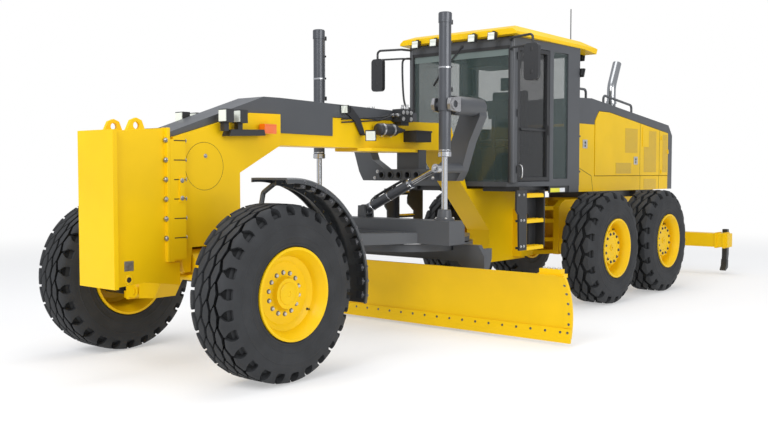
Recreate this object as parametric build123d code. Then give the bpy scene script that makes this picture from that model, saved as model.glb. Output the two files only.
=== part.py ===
from build123d import *
import math
import os

# Motor grader with six driven wheels, a rigid cab on the front frame, a front push block
# and a rear ripper. Millimetres; +X is forward, +Y is the machine's left, +Z is up.
# The origin is on the ground, under the middle of the whole machine.

os.makedirs("parts", exist_ok=True)

# ---- driving dimensions --------------------------------------------------------------
FRONT_X = 5270            # face of the push plate
REAR_X = -5270            # rearmost line of the ripper shanks
FRONT_AXLE_X = 4400
TANDEM_X = -1790          # middle of the two tandem cases
TANDEM_HALF = 770         # from there to each tandem wheel
HINGE_X = -950            # articulation pins
TRACK_HALF = 1040         # machine centre to tyre centre

TYRE_R = 678              # over the lugs
TYRE_W = 450
RIM_R = 355
AXLE_Z = TYRE_R
SPINDLE_R = 60
FIT = 0.1                 # running clearance of a pin in its bore
RUB = 0.3                 # space between faces that slide on each other

KINGPIN_Y = 800
LEAN_Y, LEAN_Z = 620, 560
FENDER_R, FENDER_Z = 860, 690

BEAM_HALF = 160
BOLSTER_HALF = 200
BEAM_BOTTOM, BEAM_TOP = 1830, 2128
FLANGE_X = 4750           # joint of bolster and push block

BALL_X, BALL_Z, BALL_R = 3930, 940, 45      # ball joint of the drawbar
CIRCLE_X, CIRCLE_R = 1560, 760
RING_Z0, RING_Z1 = 800, 870
CROSS_X0, CROSS_X1, CROSS_HALF = 1820, 2080, 1000
CROSS_Z0, CROSS_Z1 = 885, 1120
BLADE_HALF = 2135
PITCH_X, PITCH_Z = 1530, 250                # pins that the moldboard tips about

LIFT_X, LIFT_Y, LIFT_Z = 1950, 850, 2250    # centre of each lift cylinder's yoke
LIFT_TOP, LIFT_BOTTOM = 3130, 1740
CAP_TOP = 1225                              # top of the ball caps on the drawbar
LIFT_ROD_R = 29
SWING_X = 1840            # plane of the cylinder that swings the drawbar
SWING_LOW, SWING_HIGH = (-270, 1190), (675, 1630)    # (y, z) of its ends

CAB_FLOOR, CAB_EAVES = 1430, 3090
CAB_FRONT, CAB_REAR = 500, -900
CAB_FRONT_HALF, CAB_MID_HALF, CAB_REAR_HALF = 730, 785, 800
DOOR_FRONT_X, DOOR_REAR_X = 425, -205
WALL = 55

HOOD_HALF = 555
HOOD_FRONT, HOOD_REAR = -1330, -4330
HOOD_FLOOR, HOOD_SEAM = 1340, 1540
HATCH_FRONT, HATCH_REAR = -1780, -4170      # side doors of the hood
HATCH_GAP = 6

RIPPER_X, RIPPER_Z = -4430, 760             # pivot of the ripper arms
RIPPER_TOP = (-4480, 1180)                  # upper pins of its cylinders
RIPPER_LOW = (-5010, 760)                   # lower pins

SIDES = (("left", 1), ("right", -1))

# ---- small tools ---------------------------------------------------------------------


def box(x0, x1, y0, y1, z0, z1):
    return Pos((x0 + x1) / 2, (y0 + y1) / 2, (z0 + z1) / 2) * Box(x1 - x0, y1 - y0, z1 - z0)


def outline(points, radius=0):
    if radius:
        return make_face(FilletPolyline(*points, radius=radius, close=True))
    return make_face(Polyline(*points, close=True))


def slab_y(points, y0, y1, radius=0):
    """An outline of (x, z) points, made thick from y0 to y1."""
    plane = Plane(origin=(0, y1, 0), x_dir=(1, 0, 0), z_dir=(0, -1, 0))
    return extrude(plane * outline(points, radius), y1 - y0)


def slab_x(points, x0, x1, radius=0):
    """An outline of (y, z) points, made thick from x0 to x1."""
    plane = Plane(origin=(x0, 0, 0), x_dir=(0, 1, 0), z_dir=(1, 0, 0))
    return extrude(plane * outline(points, radius), x1 - x0)


def slab_z(points, z0, z1, radius=0):
    """An outline of (x, y) points, made thick from z0 to z1."""
    return extrude(Plane.XY.offset(z0) * outline(points, radius), z1 - z0)


def rod(start, end, radius):
    """A round bar between two points."""
    start, end = Vector(*start), Vector(*end)
    along = end - start
    return Plane(origin=(start + end) * 0.5, z_dir=along) * Cylinder(radius, along.length)


def pin_x(x0, x1, y, z, radius):
    return rod((x0, y, z), (x1, y, z), radius)


def pin_y(x, y0, y1, z, radius):
    return rod((x, y0, z), (x, y1, z), radius)


def pin_z(x, y, z0, z1, radius):
    return rod((x, y, z0), (x, y, z1), radius)


def ball(radius):
    """The ball of the drawbar's joint, with its poles fore and aft."""
    return Pos(BALL_X, 0, BALL_Z) * Rot(0, 90, 0) * Sphere(radius)


def pipe(points, radius, bend):
    """A round bar bent at each inner point."""
    path = FilletPolyline(*points, radius=bend)
    first, second = Vector(*points[0]), Vector(*points[1])
    return sweep(Plane(origin=first, z_dir=second - first) * Circle(radius), path=path)


def turned_y(points):
    """A ring or disc about the Y axis from (radius, y) points."""
    return revolve(outline(points), Axis.Y)


def turned_z(points):
    """A ring or disc about the Z axis from (radius, z) points."""
    plane = Plane(origin=(0, 0, 0), x_dir=(1, 0, 0), z_dir=(0, -1, 0))
    return revolve(plane * outline(points), Axis.Z)


def sided(shape, side):
    """A left-hand shape, mirrored for the right-hand side."""
    return shape if side > 0 else mirror(shape, about=Plane.XZ)


def both(shape):
    """A left-hand shape and its mirror image."""
    return shape + mirror(shape, about=Plane.XZ)


def join(shapes):
    whole = shapes[0]
    for shape in shapes[1:]:
        whole = whole + shape
    return whole


def write(name, shape):
    solids = shape.solids()
    export_step(solids[0] if len(solids) == 1 else Compound(children=solids), f"parts/{name}.step")


# ---- wheels --------------------------------------------------------------------------

SEAT_R = RIM_R - 38
SEAT_Y, FLANGE_Y = TYRE_W / 2 - 52, TYRE_W / 2 - 18


LUGS, LUG_HALF = 14, 68   # lugs round a tyre, half a lug's length
LUG_FLOOR = 652           # radius between the lugs


def tyre():
    half, crown = TYRE_W / 2, TYRE_W / 2 - 50
    body = turned_y([
        (SEAT_R, -SEAT_Y), (RIM_R, -FLANGE_Y), (500, -half), (LUG_FLOOR, -crown),
        (LUG_FLOOR, crown), (500, half), (RIM_R, FLANGE_Y), (SEAT_R, SEAT_Y),
    ])
    lug = box(-LUG_HALF, LUG_HALF, -crown, crown, 600, TYRE_R)
    for n in range(LUGS):
        body += Rot(0, 360 / LUGS * n, 0) * lug
    return body


def rim(dish, bolt_ring, hub):
    """A rim with its disc; dish is how far the disc's outer face stands outboard of centre."""
    half = TYRE_W / 2
    bore = SPINDLE_R + FIT
    return turned_y([
        (0, dish + 20), (bore, dish + 20), (bore, dish - 25), (230, dish - 25), (270, dish - 45),
        (SEAT_R - 20, -120), (RIM_R - 20, -half), (RIM_R, -half), (RIM_R, -FLANGE_Y), (SEAT_R, -SEAT_Y),
        (SEAT_R, SEAT_Y), (RIM_R, FLANGE_Y), (RIM_R, half), (RIM_R - 20, half), (SEAT_R - 20, SEAT_Y - 10),
        (SEAT_R - 34, dish + 25), (bolt_ring + 60, dish + 12), (bolt_ring + 45, dish), (hub + 12, dish),
        (hub, dish + 12), (hub - 10, dish + 48), (0, dish + 48),
    ])


front_rim = rim(dish=100, bolt_ring=190, hub=125)
rear_rim = rim(dish=45, bolt_ring=125, hub=90)
plain_tyre = tyre()

# name: (x, side, rim)
WHEELS = {
    "front_left": (FRONT_AXLE_X, 1, front_rim),
    "front_right": (FRONT_AXLE_X, -1, front_rim),
    "mid_left": (TANDEM_X + TANDEM_HALF, 1, rear_rim),
    "mid_right": (TANDEM_X + TANDEM_HALF, -1, rear_rim),
    "rear_left": (TANDEM_X - TANDEM_HALF, 1, rear_rim),
    "rear_right": (TANDEM_X - TANDEM_HALF, -1, rear_rim),
}
for name, (x, side, metal) in WHEELS.items():
    place = Pos(x, side * TRACK_HALF, AXLE_Z)
    write(f"tyre_{name}", place * plain_tyre)
    write(f"rim_{name}", place * sided(metal, side))

# ---- rear frame, tandems and engine ---------------------------------------------------

RAIL_Y, RAIL_T = 330, 40
MOUNT_X = HOOD_REAR - 2                     # rear face of the frame

rail = slab_y(
    [(-1180, 540), (-1180, 1150), (-1330, 1240), (MOUNT_X, 1240), (MOUNT_X, 900), (-2300, 900),
     (-2100, 1010), (-1480, 1010), (-1300, 540)],
    RAIL_Y - RAIL_T, RAIL_Y + RAIL_T)
# Four plates reach forward to the hinge pins, two above and two below.
HINGE_PLATES = ((545, 595), (705, 755), (945, 995), (1105, 1155))
plates = join([
    slab_z([(HINGE_X + 90, -70), (HINGE_X + 90, 70), (-1190, 300), (-1400, 300), (-1400, -300),
            (-1190, -300)], z0, z1)
    for z0, z1 in HINGE_PLATES])
crosses = join([box(x0, x1, -300, 300, z0, z1) for x0, x1, z0, z1 in (
    (-1400, -1340, 545, 1155), (-2200, -2060, 1080, 1200), (-3300, -3160, 940, 1080),
    (MOUNT_X, -4232, 900, 1240))])
pins = join([pin_z(HINGE_X, 0, z0, z1, 40) for z0, z1 in ((535, 765), (935, 1165))])
write("rear_frame", both(rail) + plates + crosses + pins)

AXLE_TUBE_Z = 790
axle = pin_y(TANDEM_X, -568, 568, AXLE_TUBE_Z, 130)
axle += Pos(TANDEM_X, 0, AXLE_TUBE_Z) * Sphere(215)
for side in (1, -1):
    axle += box(TANDEM_X - 150, TANDEM_X + 150, side * RAIL_Y - 50, side * RAIL_Y + 50, 860, 1009)
write("rear_axle", axle)

FRONT_END, REAR_END = TANDEM_X + TANDEM_HALF, TANDEM_X - TANDEM_HALF
tandem = slab_y(
    [(FRONT_END + 180, 600), (FRONT_END + 180, 760), (TANDEM_X + 250, 900), (TANDEM_X - 250, 900),
     (REAR_END - 180, 760), (REAR_END - 180, 600), (TANDEM_X - 250, 570), (TANDEM_X + 250, 570)],
    570, 770, radius=60)
for x in (FRONT_END, REAR_END):
    tandem += pin_y(x, 760, 1045, AXLE_Z, 170)
    tandem += pin_y(x, 1040, TRACK_HALF + 60, AXLE_Z, SPINDLE_R)
for name, side in SIDES:
    write(f"tandem_{name}", sided(tandem, side))

engine = box(-3400, -2100, -300, 300, 1242, 2080) + box(-4000, -3400, -400, 400, 1242, 2100)
write("engine_block", engine)

# ---- hood ----------------------------------------------------------------------------

SKIN = 36
hood_outer = slab_y(
    [(HOOD_FRONT, HOOD_FLOOR), (HOOD_FRONT, 2540), (-1700, 2553), (-4190, 2300), (HOOD_REAR, 2150),
     (HOOD_REAR, HOOD_FLOOR)], -HOOD_HALF, HOOD_HALF)
hood_core = slab_y(
    [(HOOD_FRONT - SKIN, HOOD_FLOOR - 10), (HOOD_FRONT - SKIN, 2504), (-1700, 2517), (-4170, 2266),
     (HOOD_REAR + SKIN, 2140), (HOOD_REAR + SKIN, HOOD_FLOOR - 10)], -HOOD_HALF + SKIN, HOOD_HALF - SKIN)
hood = hood_outer - hood_core
HATCH_TOP = [(HATCH_FRONT, 2270), (-1900, 2400), (-2200, 2400), (HATCH_REAR, 2185)]
hatch = [(HATCH_REAR, HOOD_SEAM), (HATCH_FRONT, HOOD_SEAM)] + HATCH_TOP
hood -= slab_y(hatch, -HOOD_HALF - 10, HOOD_HALF + 10)
GRILLE_HALF, GRILLE_Z0, GRILLE_Z1 = HOOD_HALF - 80, HOOD_FLOOR + 60, 2100
hood -= box(HOOD_REAR - 10, HOOD_REAR + 60, -GRILLE_HALF, GRILLE_HALF, GRILLE_Z0, GRILLE_Z1)
EXHAUST_X, EXHAUST_Y = -2880, 250
hood -= pin_z(EXHAUST_X, EXHAUST_Y, 2300, 2600, 62)
# The belt below the side doors and the panels ahead of them are one colour, the rest another.
belt = slab_y(
    [(HOOD_FRONT + 10, HOOD_FLOOR - 10), (HOOD_FRONT + 10, 2215), (HATCH_FRONT, 2215),
     (HATCH_FRONT, HOOD_SEAM), (HATCH_REAR, HOOD_SEAM), (HATCH_REAR, HOOD_FLOOR - 10)],
    -HOOD_HALF - 10, HOOD_HALF + 10)
HANDRAILS = ((-1350, -1640, 2530, 2530), (-2140, -3010, 2490, 2400))    # (x0, x1, z0, z1)
rails = []
for x0, x1, z0, z1 in HANDRAILS:
    y = HOOD_HALF - 60
    rails.append(pipe([(x0, y, z0), (x0, y, z0 + 135), (x1, y, z1 + 135), (x1, y, z1)], 16, 50))
write("hood_belt", hood & belt)
write("hood_top", (hood - belt) + both(join(rails)))

hatch_panel = [
    (HATCH_REAR + HATCH_GAP, HOOD_SEAM + HATCH_GAP), (HATCH_FRONT - HATCH_GAP, HOOD_SEAM + HATCH_GAP),
    (HATCH_FRONT - HATCH_GAP, 2270 - HATCH_GAP), (-1900, 2400 - HATCH_GAP), (-2200, 2400 - HATCH_GAP),
    (HATCH_REAR + HATCH_GAP, 2185 - HATCH_GAP)]
for name, side in SIDES:
    write(f"hood_door_{name}", sided(slab_y(hatch_panel, HOOD_HALF - SKIN, HOOD_HALF + 6), side))

grille_y, grille_z0, grille_z1 = GRILLE_HALF - HATCH_GAP, GRILLE_Z0 + HATCH_GAP, GRILLE_Z1 - HATCH_GAP
grille = box(HOOD_REAR - 6, HOOD_REAR + 34, -grille_y, grille_y, grille_z0, grille_z1)
grille -= both(box(HOOD_REAR - 10, HOOD_REAR + 16, 24, grille_y - 36, grille_z0 + 36, grille_z1 - 36))
for n in range(9):
    z = grille_z0 + 70 + n * 66
    grille += slab_y([(HOOD_REAR + 18, z), (HOOD_REAR - 2, z - 22), (HOOD_REAR - 2, z - 14),
                      (HOOD_REAR + 18, z + 8)], -grille_y + 20, grille_y - 20)
write("rear_grille", grille)

stack = [(EXHAUST_X, EXHAUST_Y, 2110), (EXHAUST_X, EXHAUST_Y, 2800), (EXHAUST_X - 170, EXHAUST_Y, 3150)]
bore = [(EXHAUST_X, EXHAUST_Y, 2500), (EXHAUST_X, EXHAUST_Y, 2800), (EXHAUST_X - 180, EXHAUST_Y, 3170)]
exhaust = pipe(stack, 61, 300) - pipe(bore, 54, 300) + (
    pin_z(EXHAUST_X, EXHAUST_Y, 2560, 2600, 72) - pin_z(EXHAUST_X, EXHAUST_Y, 2550, 2610, 58))
write("exhaust_stack", exhaust)

# ---- ripper --------------------------------------------------------------------------

cheek = slab_y(
    [(MOUNT_X, 600), (MOUNT_X, 1240), (-4450, 1240), (-4530, 1180), (-4530, 660), (-4450, 600)], 300, 340)
mount = both(cheek) + box(MOUNT_X - 40, MOUNT_X, -340, 340, 600, 1240)
mount += pin_y(RIPPER_X, -410, 410, RIPPER_Z, 45)
mount += pin_y(RIPPER_TOP[0], -310, 310, RIPPER_TOP[1], 30)
write("ripper_mount", mount)

arm = slab_y(
    [(RIPPER_X + 60, RIPPER_Z - 50), (RIPPER_X + 60, RIPPER_Z + 60), (RIPPER_X - 80, RIPPER_Z + 60),
     (-4970, 640), (-4970, 440), (RIPPER_X - 60, RIPPER_Z - 70)],
    345, 400)
arm -= pin_y(RIPPER_X, 300, 420, RIPPER_Z, 45 + FIT)
TOOLBAR_X0, TOOLBAR_X1 = -5170, -4960
toolbar = box(TOOLBAR_X0, TOOLBAR_X1, -1200, 1200, 430, 640)
beam = both(arm) + toolbar
for y in (-292, -188, 188, 292):
    ear = slab_y([(-5080, 620), (-4960, 620), (-4965, 760), (-5055, 760)], y - 10, y + 10)
    beam += ear + pin_y(RIPPER_LOW[0], y - 10, y + 10, RIPPER_LOW[1], 45)
write("ripper_beam", beam)

SHANK_Y = (-1080, 0, 1080)
shank = [slab_y(
    [(TOOLBAR_X0 - 2, 700), (REAR_X + 20, 700), (REAR_X, 640), (REAR_X, 300), (-5210, 110), (-5110, 60),
     (-5150, 120), (TOOLBAR_X0 - 2, 300)], y - 38, y + 38) for y in SHANK_Y]
write("ripper_shanks", join(shank))

barrels, rods = [], []
for side in (1, -1):
    y = side * 240
    start, end = Vector(RIPPER_TOP[0], y, RIPPER_TOP[1]), Vector(RIPPER_LOW[0], y, RIPPER_LOW[1])
    along = (end - start).normalized()
    body = rod(start, start + along * 400, 50)
    body += pin_y(RIPPER_TOP[0], y - 45, y + 45, RIPPER_TOP[1], 55)
    body -= rod(start + along * 80, end, 30 + FIT)
    body -= pin_y(RIPPER_TOP[0], y - 50, y + 50, RIPPER_TOP[1], 30 + FIT)
    barrels.append(body)
    eye = pin_y(RIPPER_LOW[0], y - 30, y + 30, RIPPER_LOW[1], 40)
    eye += rod(start + along * 285, end - along * 20, 30)
    rods.append(eye - pin_y(RIPPER_LOW[0], y - 40, y + 40, RIPPER_LOW[1], 25))
write("ripper_barrels", join(barrels))
write("ripper_rods", join(rods))

# ---- front frame ---------------------------------------------------------------------

bolster = slab_y(
    [(FLANGE_X, 885), (FLANGE_X, 1852), (3895, 2099), (3530, 2105), (3530, BEAM_BOTTOM), (4005, 1587),
     (4005, 860), (4200, 785), (4262, 785), (4280, 985), (4520, 985), (4538, 785), (4600, 785), (4620, 885)],
    -BOLSTER_HALF, BOLSTER_HALF)
beam = slab_y(
    [(3700, 2099), (1000, BEAM_TOP), (1100, BEAM_BOTTOM), (3530, BEAM_BOTTOM), (3700, 1900)],
    -BEAM_HALF, BEAM_HALF)
flange = box(FLANGE_X - 30, FLANGE_X, -235, 235, 885, 1850)
knee = slab_y(
    [(1060, BEAM_BOTTOM), (734, 1510), (106, 905), (106, 521), (-700, 521), (-700, 1140), (-600, 1400),
     (570, 1400), (800, 1900), (900, BEAM_TOP), (1200, BEAM_TOP), (1200, BEAM_BOTTOM)],
    -BEAM_HALF, BEAM_HALF)
knee += box(-700, -420, -280, 280, 560, 1140)
ledge = slab_z([(2450, -150), (2450, 150), (2330, 232), (1620, 232), (1490, 160), (1490, -160), (1620, -232),
                (2330, -232)], BEAM_BOTTOM - 30, BEAM_BOTTOM + 2, radius=20)
tongues = join([
    slab_z([(-650, -280), (-650, 280), (HINGE_X + 20, 110), (HINGE_X - 80, 60), (HINGE_X - 80, -60),
            (HINGE_X + 20, -110)], z0, z1)
    for z0, z1 in ((600, 700), (1000, 1100))])
frame = bolster + beam + flange + knee + ledge + tongues
frame -= pin_z(HINGE_X, 0, 500, 1200, 40 + FIT)
frame -= pin_x(4100, 4700, 0, 860, 50)
seat = slab_y([(3940, 880), (3940, 1000), (4006, 1060), (4006, 861)], -70, 70)
frame += seat
frame -= ball(BALL_R + FIT)
write("front_frame", frame)

write("drawbar_ball", ball(BALL_R))

cover = slab_y(
    [(4740, 1856), (4740, 1900), (3700, 2252), (3500, 2254), (1520, 2215), (1520, 2125), (3530, 2106),
     (3895, 2100)],
    -BEAM_HALF - 10, BEAM_HALF + 10)
cover += both(slab_y([(3526, 2200), (3526, 1970), (3490, 1940), (2820, 1935), (2820, 2200)],
                     BEAM_HALF + 1, BEAM_HALF + 10))
write("beam_cover", cover)

block = box(FRONT_X - 40, FRONT_X, -235, 235, 710, 1910)
block += both(slab_y(
    [(FLANGE_X, 890), (FLANGE_X, 1940), (FRONT_X - 40, 1900), (FRONT_X - 40, 720), (4990, 740), (4640, 690),
     (4640, 870), (FLANGE_X, 880)], 165, 200))
block += box(FLANGE_X, FLANGE_X + 30, -235, 235, 885, 1940)
block += box(FLANGE_X, FRONT_X - 40, -165, 165, 1870, 1900)
block += box(FLANGE_X, FRONT_X - 40, -165, 165, 760, 790)
LUG_Y, LUG_X, LUG_Z = 150, 5010, 1950
for y in (-LUG_Y, LUG_Y):
    lug = slab_y([(4920, 1890), (4960, 1990), (LUG_X, 2010), (5060, 1990), (5110, 1890)], y - 15, y + 15)
    block += lug - pin_y(LUG_X, y - 30, y + 30, LUG_Z, 28)
write("push_block", block)

# ---- front axle, lean and steering ------------------------------------------------------

half_axle = slab_x(
    [(0, 780), (0, 960), (150, 960), (300, 830), (545, 640), (545, 500), (330, 520), (180, 740)],
    FRONT_AXLE_X - 110, FRONT_AXLE_X + 110)
half_axle += box(FRONT_AXLE_X - 60, FRONT_AXLE_X + 60, 540, LEAN_Y, LEAN_Z - 60, LEAN_Z + 60)
half_axle += pin_x(FRONT_AXLE_X - 60, FRONT_AXLE_X + 60, LEAN_Y, LEAN_Z, 60)
half_axle += pin_x(FRONT_AXLE_X - 125, FRONT_AXLE_X + 125, LEAN_Y, LEAN_Z, 30)
write("front_axle", both(half_axle) + pin_x(4190, 4615, 0, 860, 50))

EYE_R, YOKE_Z0, YOKE_Z1 = 75, 478, 878
BAR_Y, BAR_Z = LEAN_Y, 740                     # pins of the bar that ties both lean yokes
yoke = box(FRONT_AXLE_X - 115, FRONT_AXLE_X + 115, 690, 732, YOKE_Z0, YOKE_Z1)
for z0, z1 in ((YOKE_Z0, YOKE_Z0 + 60), (YOKE_Z1 - 60, YOKE_Z1)):
    yoke += box(FRONT_AXLE_X - EYE_R, FRONT_AXLE_X + EYE_R, 700, KINGPIN_Y, z0, z1)
    yoke += pin_z(FRONT_AXLE_X, KINGPIN_Y, z0, z1, EYE_R)
for x0, x1 in ((-115, -65), (65, 115)):
    cheek = pin_x(FRONT_AXLE_X + x0, FRONT_AXLE_X + x1, LEAN_Y, LEAN_Z, 60)
    cheek += box(FRONT_AXLE_X + x0, FRONT_AXLE_X + x1, LEAN_Y, 700, LEAN_Z - 60, LEAN_Z + 60)
    yoke += cheek - pin_x(FRONT_AXLE_X + x0 - 5, FRONT_AXLE_X + x1 + 5, LEAN_Y, LEAN_Z, 30 + FIT)
yoke -= pin_z(FRONT_AXLE_X, KINGPIN_Y, 400, 1000, 40 + FIT)
ear_x = FRONT_AXLE_X + 90
yoke += box(ear_x, ear_x + 25, BAR_Y, 695, BAR_Z - 35, BAR_Z + 35)
yoke += pin_x(ear_x, ear_x + 25, BAR_Y, BAR_Z, 35) + pin_x(ear_x, ear_x + 75, BAR_Y, BAR_Z, 18)

lean_bar = rod((ear_x + 50, -BAR_Y, BAR_Z), (ear_x + 50, BAR_Y, BAR_Z), 24)
for y in (-BAR_Y, BAR_Y):
    lean_bar += pin_x(ear_x + 26, ear_x + 72, y, BAR_Z, 38)
    lean_bar -= pin_x(ear_x + 20, ear_x + 80, y, BAR_Z, 18 + FIT)
write("lean_bar", lean_bar)

knuckle = pin_z(FRONT_AXLE_X, KINGPIN_Y, YOKE_Z0 + 5, 915, 40)
knuckle += pin_z(FRONT_AXLE_X, KINGPIN_Y, 542, 814, 62)
knuckle += box(FRONT_AXLE_X - 55, FRONT_AXLE_X + 55, KINGPIN_Y, 900, 570, 786)
knuckle += pin_y(FRONT_AXLE_X, 895, 1100, AXLE_Z, 180)
knuckle += pin_y(FRONT_AXLE_X, 1095, TRACK_HALF + 115, AXLE_Z, SPINDLE_R)
# The fender stands on two bent tubes that rise from the top of the kingpin.
knuckle += pin_z(FRONT_AXLE_X, KINGPIN_Y, 885, 915, 60)
stay_y = KINGPIN_Y - 12
front_stay = pipe(
    [(FRONT_AXLE_X, stay_y, 900), (FRONT_AXLE_X - 120, stay_y, 1430), (FRONT_AXLE_X - 130, 900, 1500),
     (FRONT_AXLE_X - 140, 1000, 1530)], 20, 30)
rear_stay = pipe(
    [(FRONT_AXLE_X, stay_y, 900), (FRONT_AXLE_X - 620, stay_y, 1120), (FRONT_AXLE_X - 740, 900, 1130),
     (FRONT_AXLE_X - 760, 1000, 1130)], 20, 30)
shell = turned_y([
    (FENDER_R, 850), (FENDER_R, 1235), (FENDER_R - 12, 1250), (FENDER_R - 42, 1256),
    (FENDER_R - 44, 1242), (FENDER_R - 22, 1230), (FENDER_R - 14, 1222), (FENDER_R - 14, 862),
    (FENDER_R - 34, 862), (FENDER_R - 34, 850)])
fender = Pos(FRONT_AXLE_X, 0, FENDER_Z) * shell
fender &= slab_y(
    [(FRONT_AXLE_X + 60, 1390), (FRONT_AXLE_X + 60, 1700), (3300, 1700), (3300, 520), (3640, 520),
     (3760, 900)], 800, 1300, radius=30)
# A carrier with round holes runs under the shell between the stays.
carrier = turned_y([(FENDER_R - 12, 985), (FENDER_R - 12, 1000), (FENDER_R - 58, 1000), (FENDER_R - 58, 985)])
for n in range(40):
    carrier -= Rot(0, 9 * n, 0) * pin_y(0, 980, 1005, FENDER_R - 38, 11)
carrier = Pos(FRONT_AXLE_X, 0, FENDER_Z) * carrier
fender += carrier & slab_y(
    [(FRONT_AXLE_X - 60, 1300), (FRONT_AXLE_X - 60, 1700), (3300, 1700), (3300, 700), (3640, 700),
     (3760, 900)], 900, 1100)
knuckle = knuckle + front_stay + rear_stay + fender
for name, side in SIDES:
    write(f"lean_yoke_{name}", sided(yoke, side))
    write(f"knuckle_{name}", sided(knuckle, side))

# ---- drawbar and circle -------------------------------------------------------------------

neck = slab_z(
    [(BALL_X - 18, -40), (BALL_X - 18, 40), (BALL_X - 150, 80), (2950, 110), (CROSS_X1 - 10, 620),
     (CROSS_X1 - 10, -620), (2950, -110), (BALL_X - 150, -80)], CROSS_Z0, 995)
neck -= slab_z([(2880, 0), (CROSS_X1 + 60, 400), (CROSS_X1 + 60, -400)], CROSS_Z0 - 5, 1000)
neck -= ball(BALL_R + FIT)
cross = slab_y([(CROSS_X0, CROSS_Z0), (CROSS_X0, 1060), (CROSS_X0 + 50, CROSS_Z1), (CROSS_X1, CROSS_Z1),
                (CROSS_X1, CROSS_Z0)], -CROSS_HALF, CROSS_HALF)
deck = slab_z(
    [(CROSS_X0 + 10, -760), (CROSS_X0 + 10, 760), (1400, 760), (950, 460), (850, 0), (950, -460),
     (1400, -760)], CROSS_Z0, 930)
deck -= slab_z([(1720, -420), (1720, 420), (1300, 420), (1080, 250), (1080, -250), (1300, -420)],
               CROSS_Z0 - 5, 935, radius=60)
drawbar = neck + cross + deck
# The swing cylinder's root sits in a fork on the cross beam.
for x0 in (SWING_X - 75, SWING_X + 50):
    root = slab_x([(SWING_LOW[0] - 60, CROSS_Z0 + 20), (SWING_LOW[0] - 45, SWING_LOW[1] + 50),
                   (SWING_LOW[0] + 45, SWING_LOW[1] + 50), (SWING_LOW[0] + 60, CROSS_Z0 + 20)], x0, x0 + 25)
    drawbar += root
drawbar += pin_x(SWING_X - 75, SWING_X + 75, *SWING_LOW, 28)
for side in (1, -1):
    y = side * LIFT_Y
    drawbar += pin_z(LIFT_X, y, CROSS_Z1 - 10, CAP_TOP, 60)
# Guide shoes hang inside the ring and reach into its groove.
GROOVE_R, SHOE_ANGLES = CIRCLE_R - 65, (35, 145, 215, 325)
for angle in SHOE_ANGLES:
    place = Pos(CIRCLE_X, 0, 0) * Rot(0, 0, angle)
    drawbar += place * box(590, 660, -60, 60, 838, CROSS_Z0 + 5)
    drawbar += place * box(650, 682, -50, 50, 838, 856)
write("drawbar", drawbar)

ring = Pos(CIRCLE_X, 0, 0) * turned_z([
    (CIRCLE_R - 90, RING_Z0), (CIRCLE_R, RING_Z0), (CIRCLE_R, RING_Z1), (CIRCLE_R - 90, RING_Z1),
    (CIRCLE_R - 90, 860), (GROOVE_R, 860), (GROOVE_R, 834), (CIRCLE_R - 90, 834)])
ARCH_X0, ARCH_X1 = 1640, 1700
arch = slab_x(
    [(0, 700), (820, 700), (940, 600), (960, 500), (1150, 500), (1150, 760), (1080, RING_Z1), (775, RING_Z1),
     (775, RING_Z0 + 5), (0, RING_Z0 + 5)], ARCH_X0, ARCH_X1)
arm = slab_y(
    [(ARCH_X1, 520), (ARCH_X1, RING_Z0 + 5), (1250, RING_Z0 + 5), (1250, 700), (PITCH_X - 70, 240),
     (PITCH_X - 40, 190), (PITCH_X + 40, 190), (PITCH_X + 70, 240), (PITCH_X + 70, 290),
     (PITCH_X + 40, 375), (PITCH_X + 90, 485)], 900, 945)
circle = ring + both(arch) + both(arm)
for side in (1, -1):
    circle += pin_y(PITCH_X, side * 838, side * 950, PITCH_Z, 35)
write("circle", circle)

# ---- blade -------------------------------------------------------------------------------

# The moldboard is one arc, hollow to the front; its centre is ahead of the blade.
MOLD_X, MOLD_Z, MOLD_R, MOLD_T = 2332, 254, 596, 22
RAIL_HALF = 1500
SLIDE_ROD_R = 30
CYL_X, CYL_Z = 1655, 370                    # axis of the blade side shift cylinder


def mold_x(z, depth):
    """X of a point on the moldboard's arc at height z, depth behind the front face."""
    return MOLD_X - math.sqrt((MOLD_R + depth) ** 2 - (z - MOLD_Z) ** 2)


around = Pos(MOLD_X, 0, MOLD_Z)
mold = around * (pin_y(0, -BLADE_HALF, BLADE_HALF, 0, MOLD_R + MOLD_T)
                 - pin_y(0, -BLADE_HALF - 5, BLADE_HALF + 5, 0, MOLD_R))
mold &= slab_y([(1600, 70), (1900, 70), (1900, 662), (1600, 662)], -BLADE_HALF, BLADE_HALF)
edge = slab_y(
    [(mold_x(30, 0), 30), (mold_x(30, 0) - 26, 30), (mold_x(150, 4) - 4, 150), (mold_x(150, 0) + 16, 160),
     (mold_x(90, 0) + 16, 90)], -BLADE_HALF, BLADE_HALF)
RAILS = ((500, 560), (170, 230))            # (z0, z1) of the two slide rails
blade = mold + edge
for z0, z1 in RAILS:
    middle = (z0 + z1) / 2
    back = mold_x(middle, MOLD_T)
    blade += box(back - 40, back + 8, -RAIL_HALF, RAIL_HALF, z0, z1)
lug_y = -1560
blade += slab_y([(CYL_X - 35, CYL_Z - 35), (CYL_X - 35, CYL_Z + 35), (mold_x(CYL_Z + 35, 10), CYL_Z + 35),
                 (mold_x(CYL_Z - 35, 10), CYL_Z - 35)], lug_y - 30, lug_y)
blade += pin_y(CYL_X, lug_y - 5, 0, CYL_Z, SLIDE_ROD_R)
write("moldboard", blade)

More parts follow.
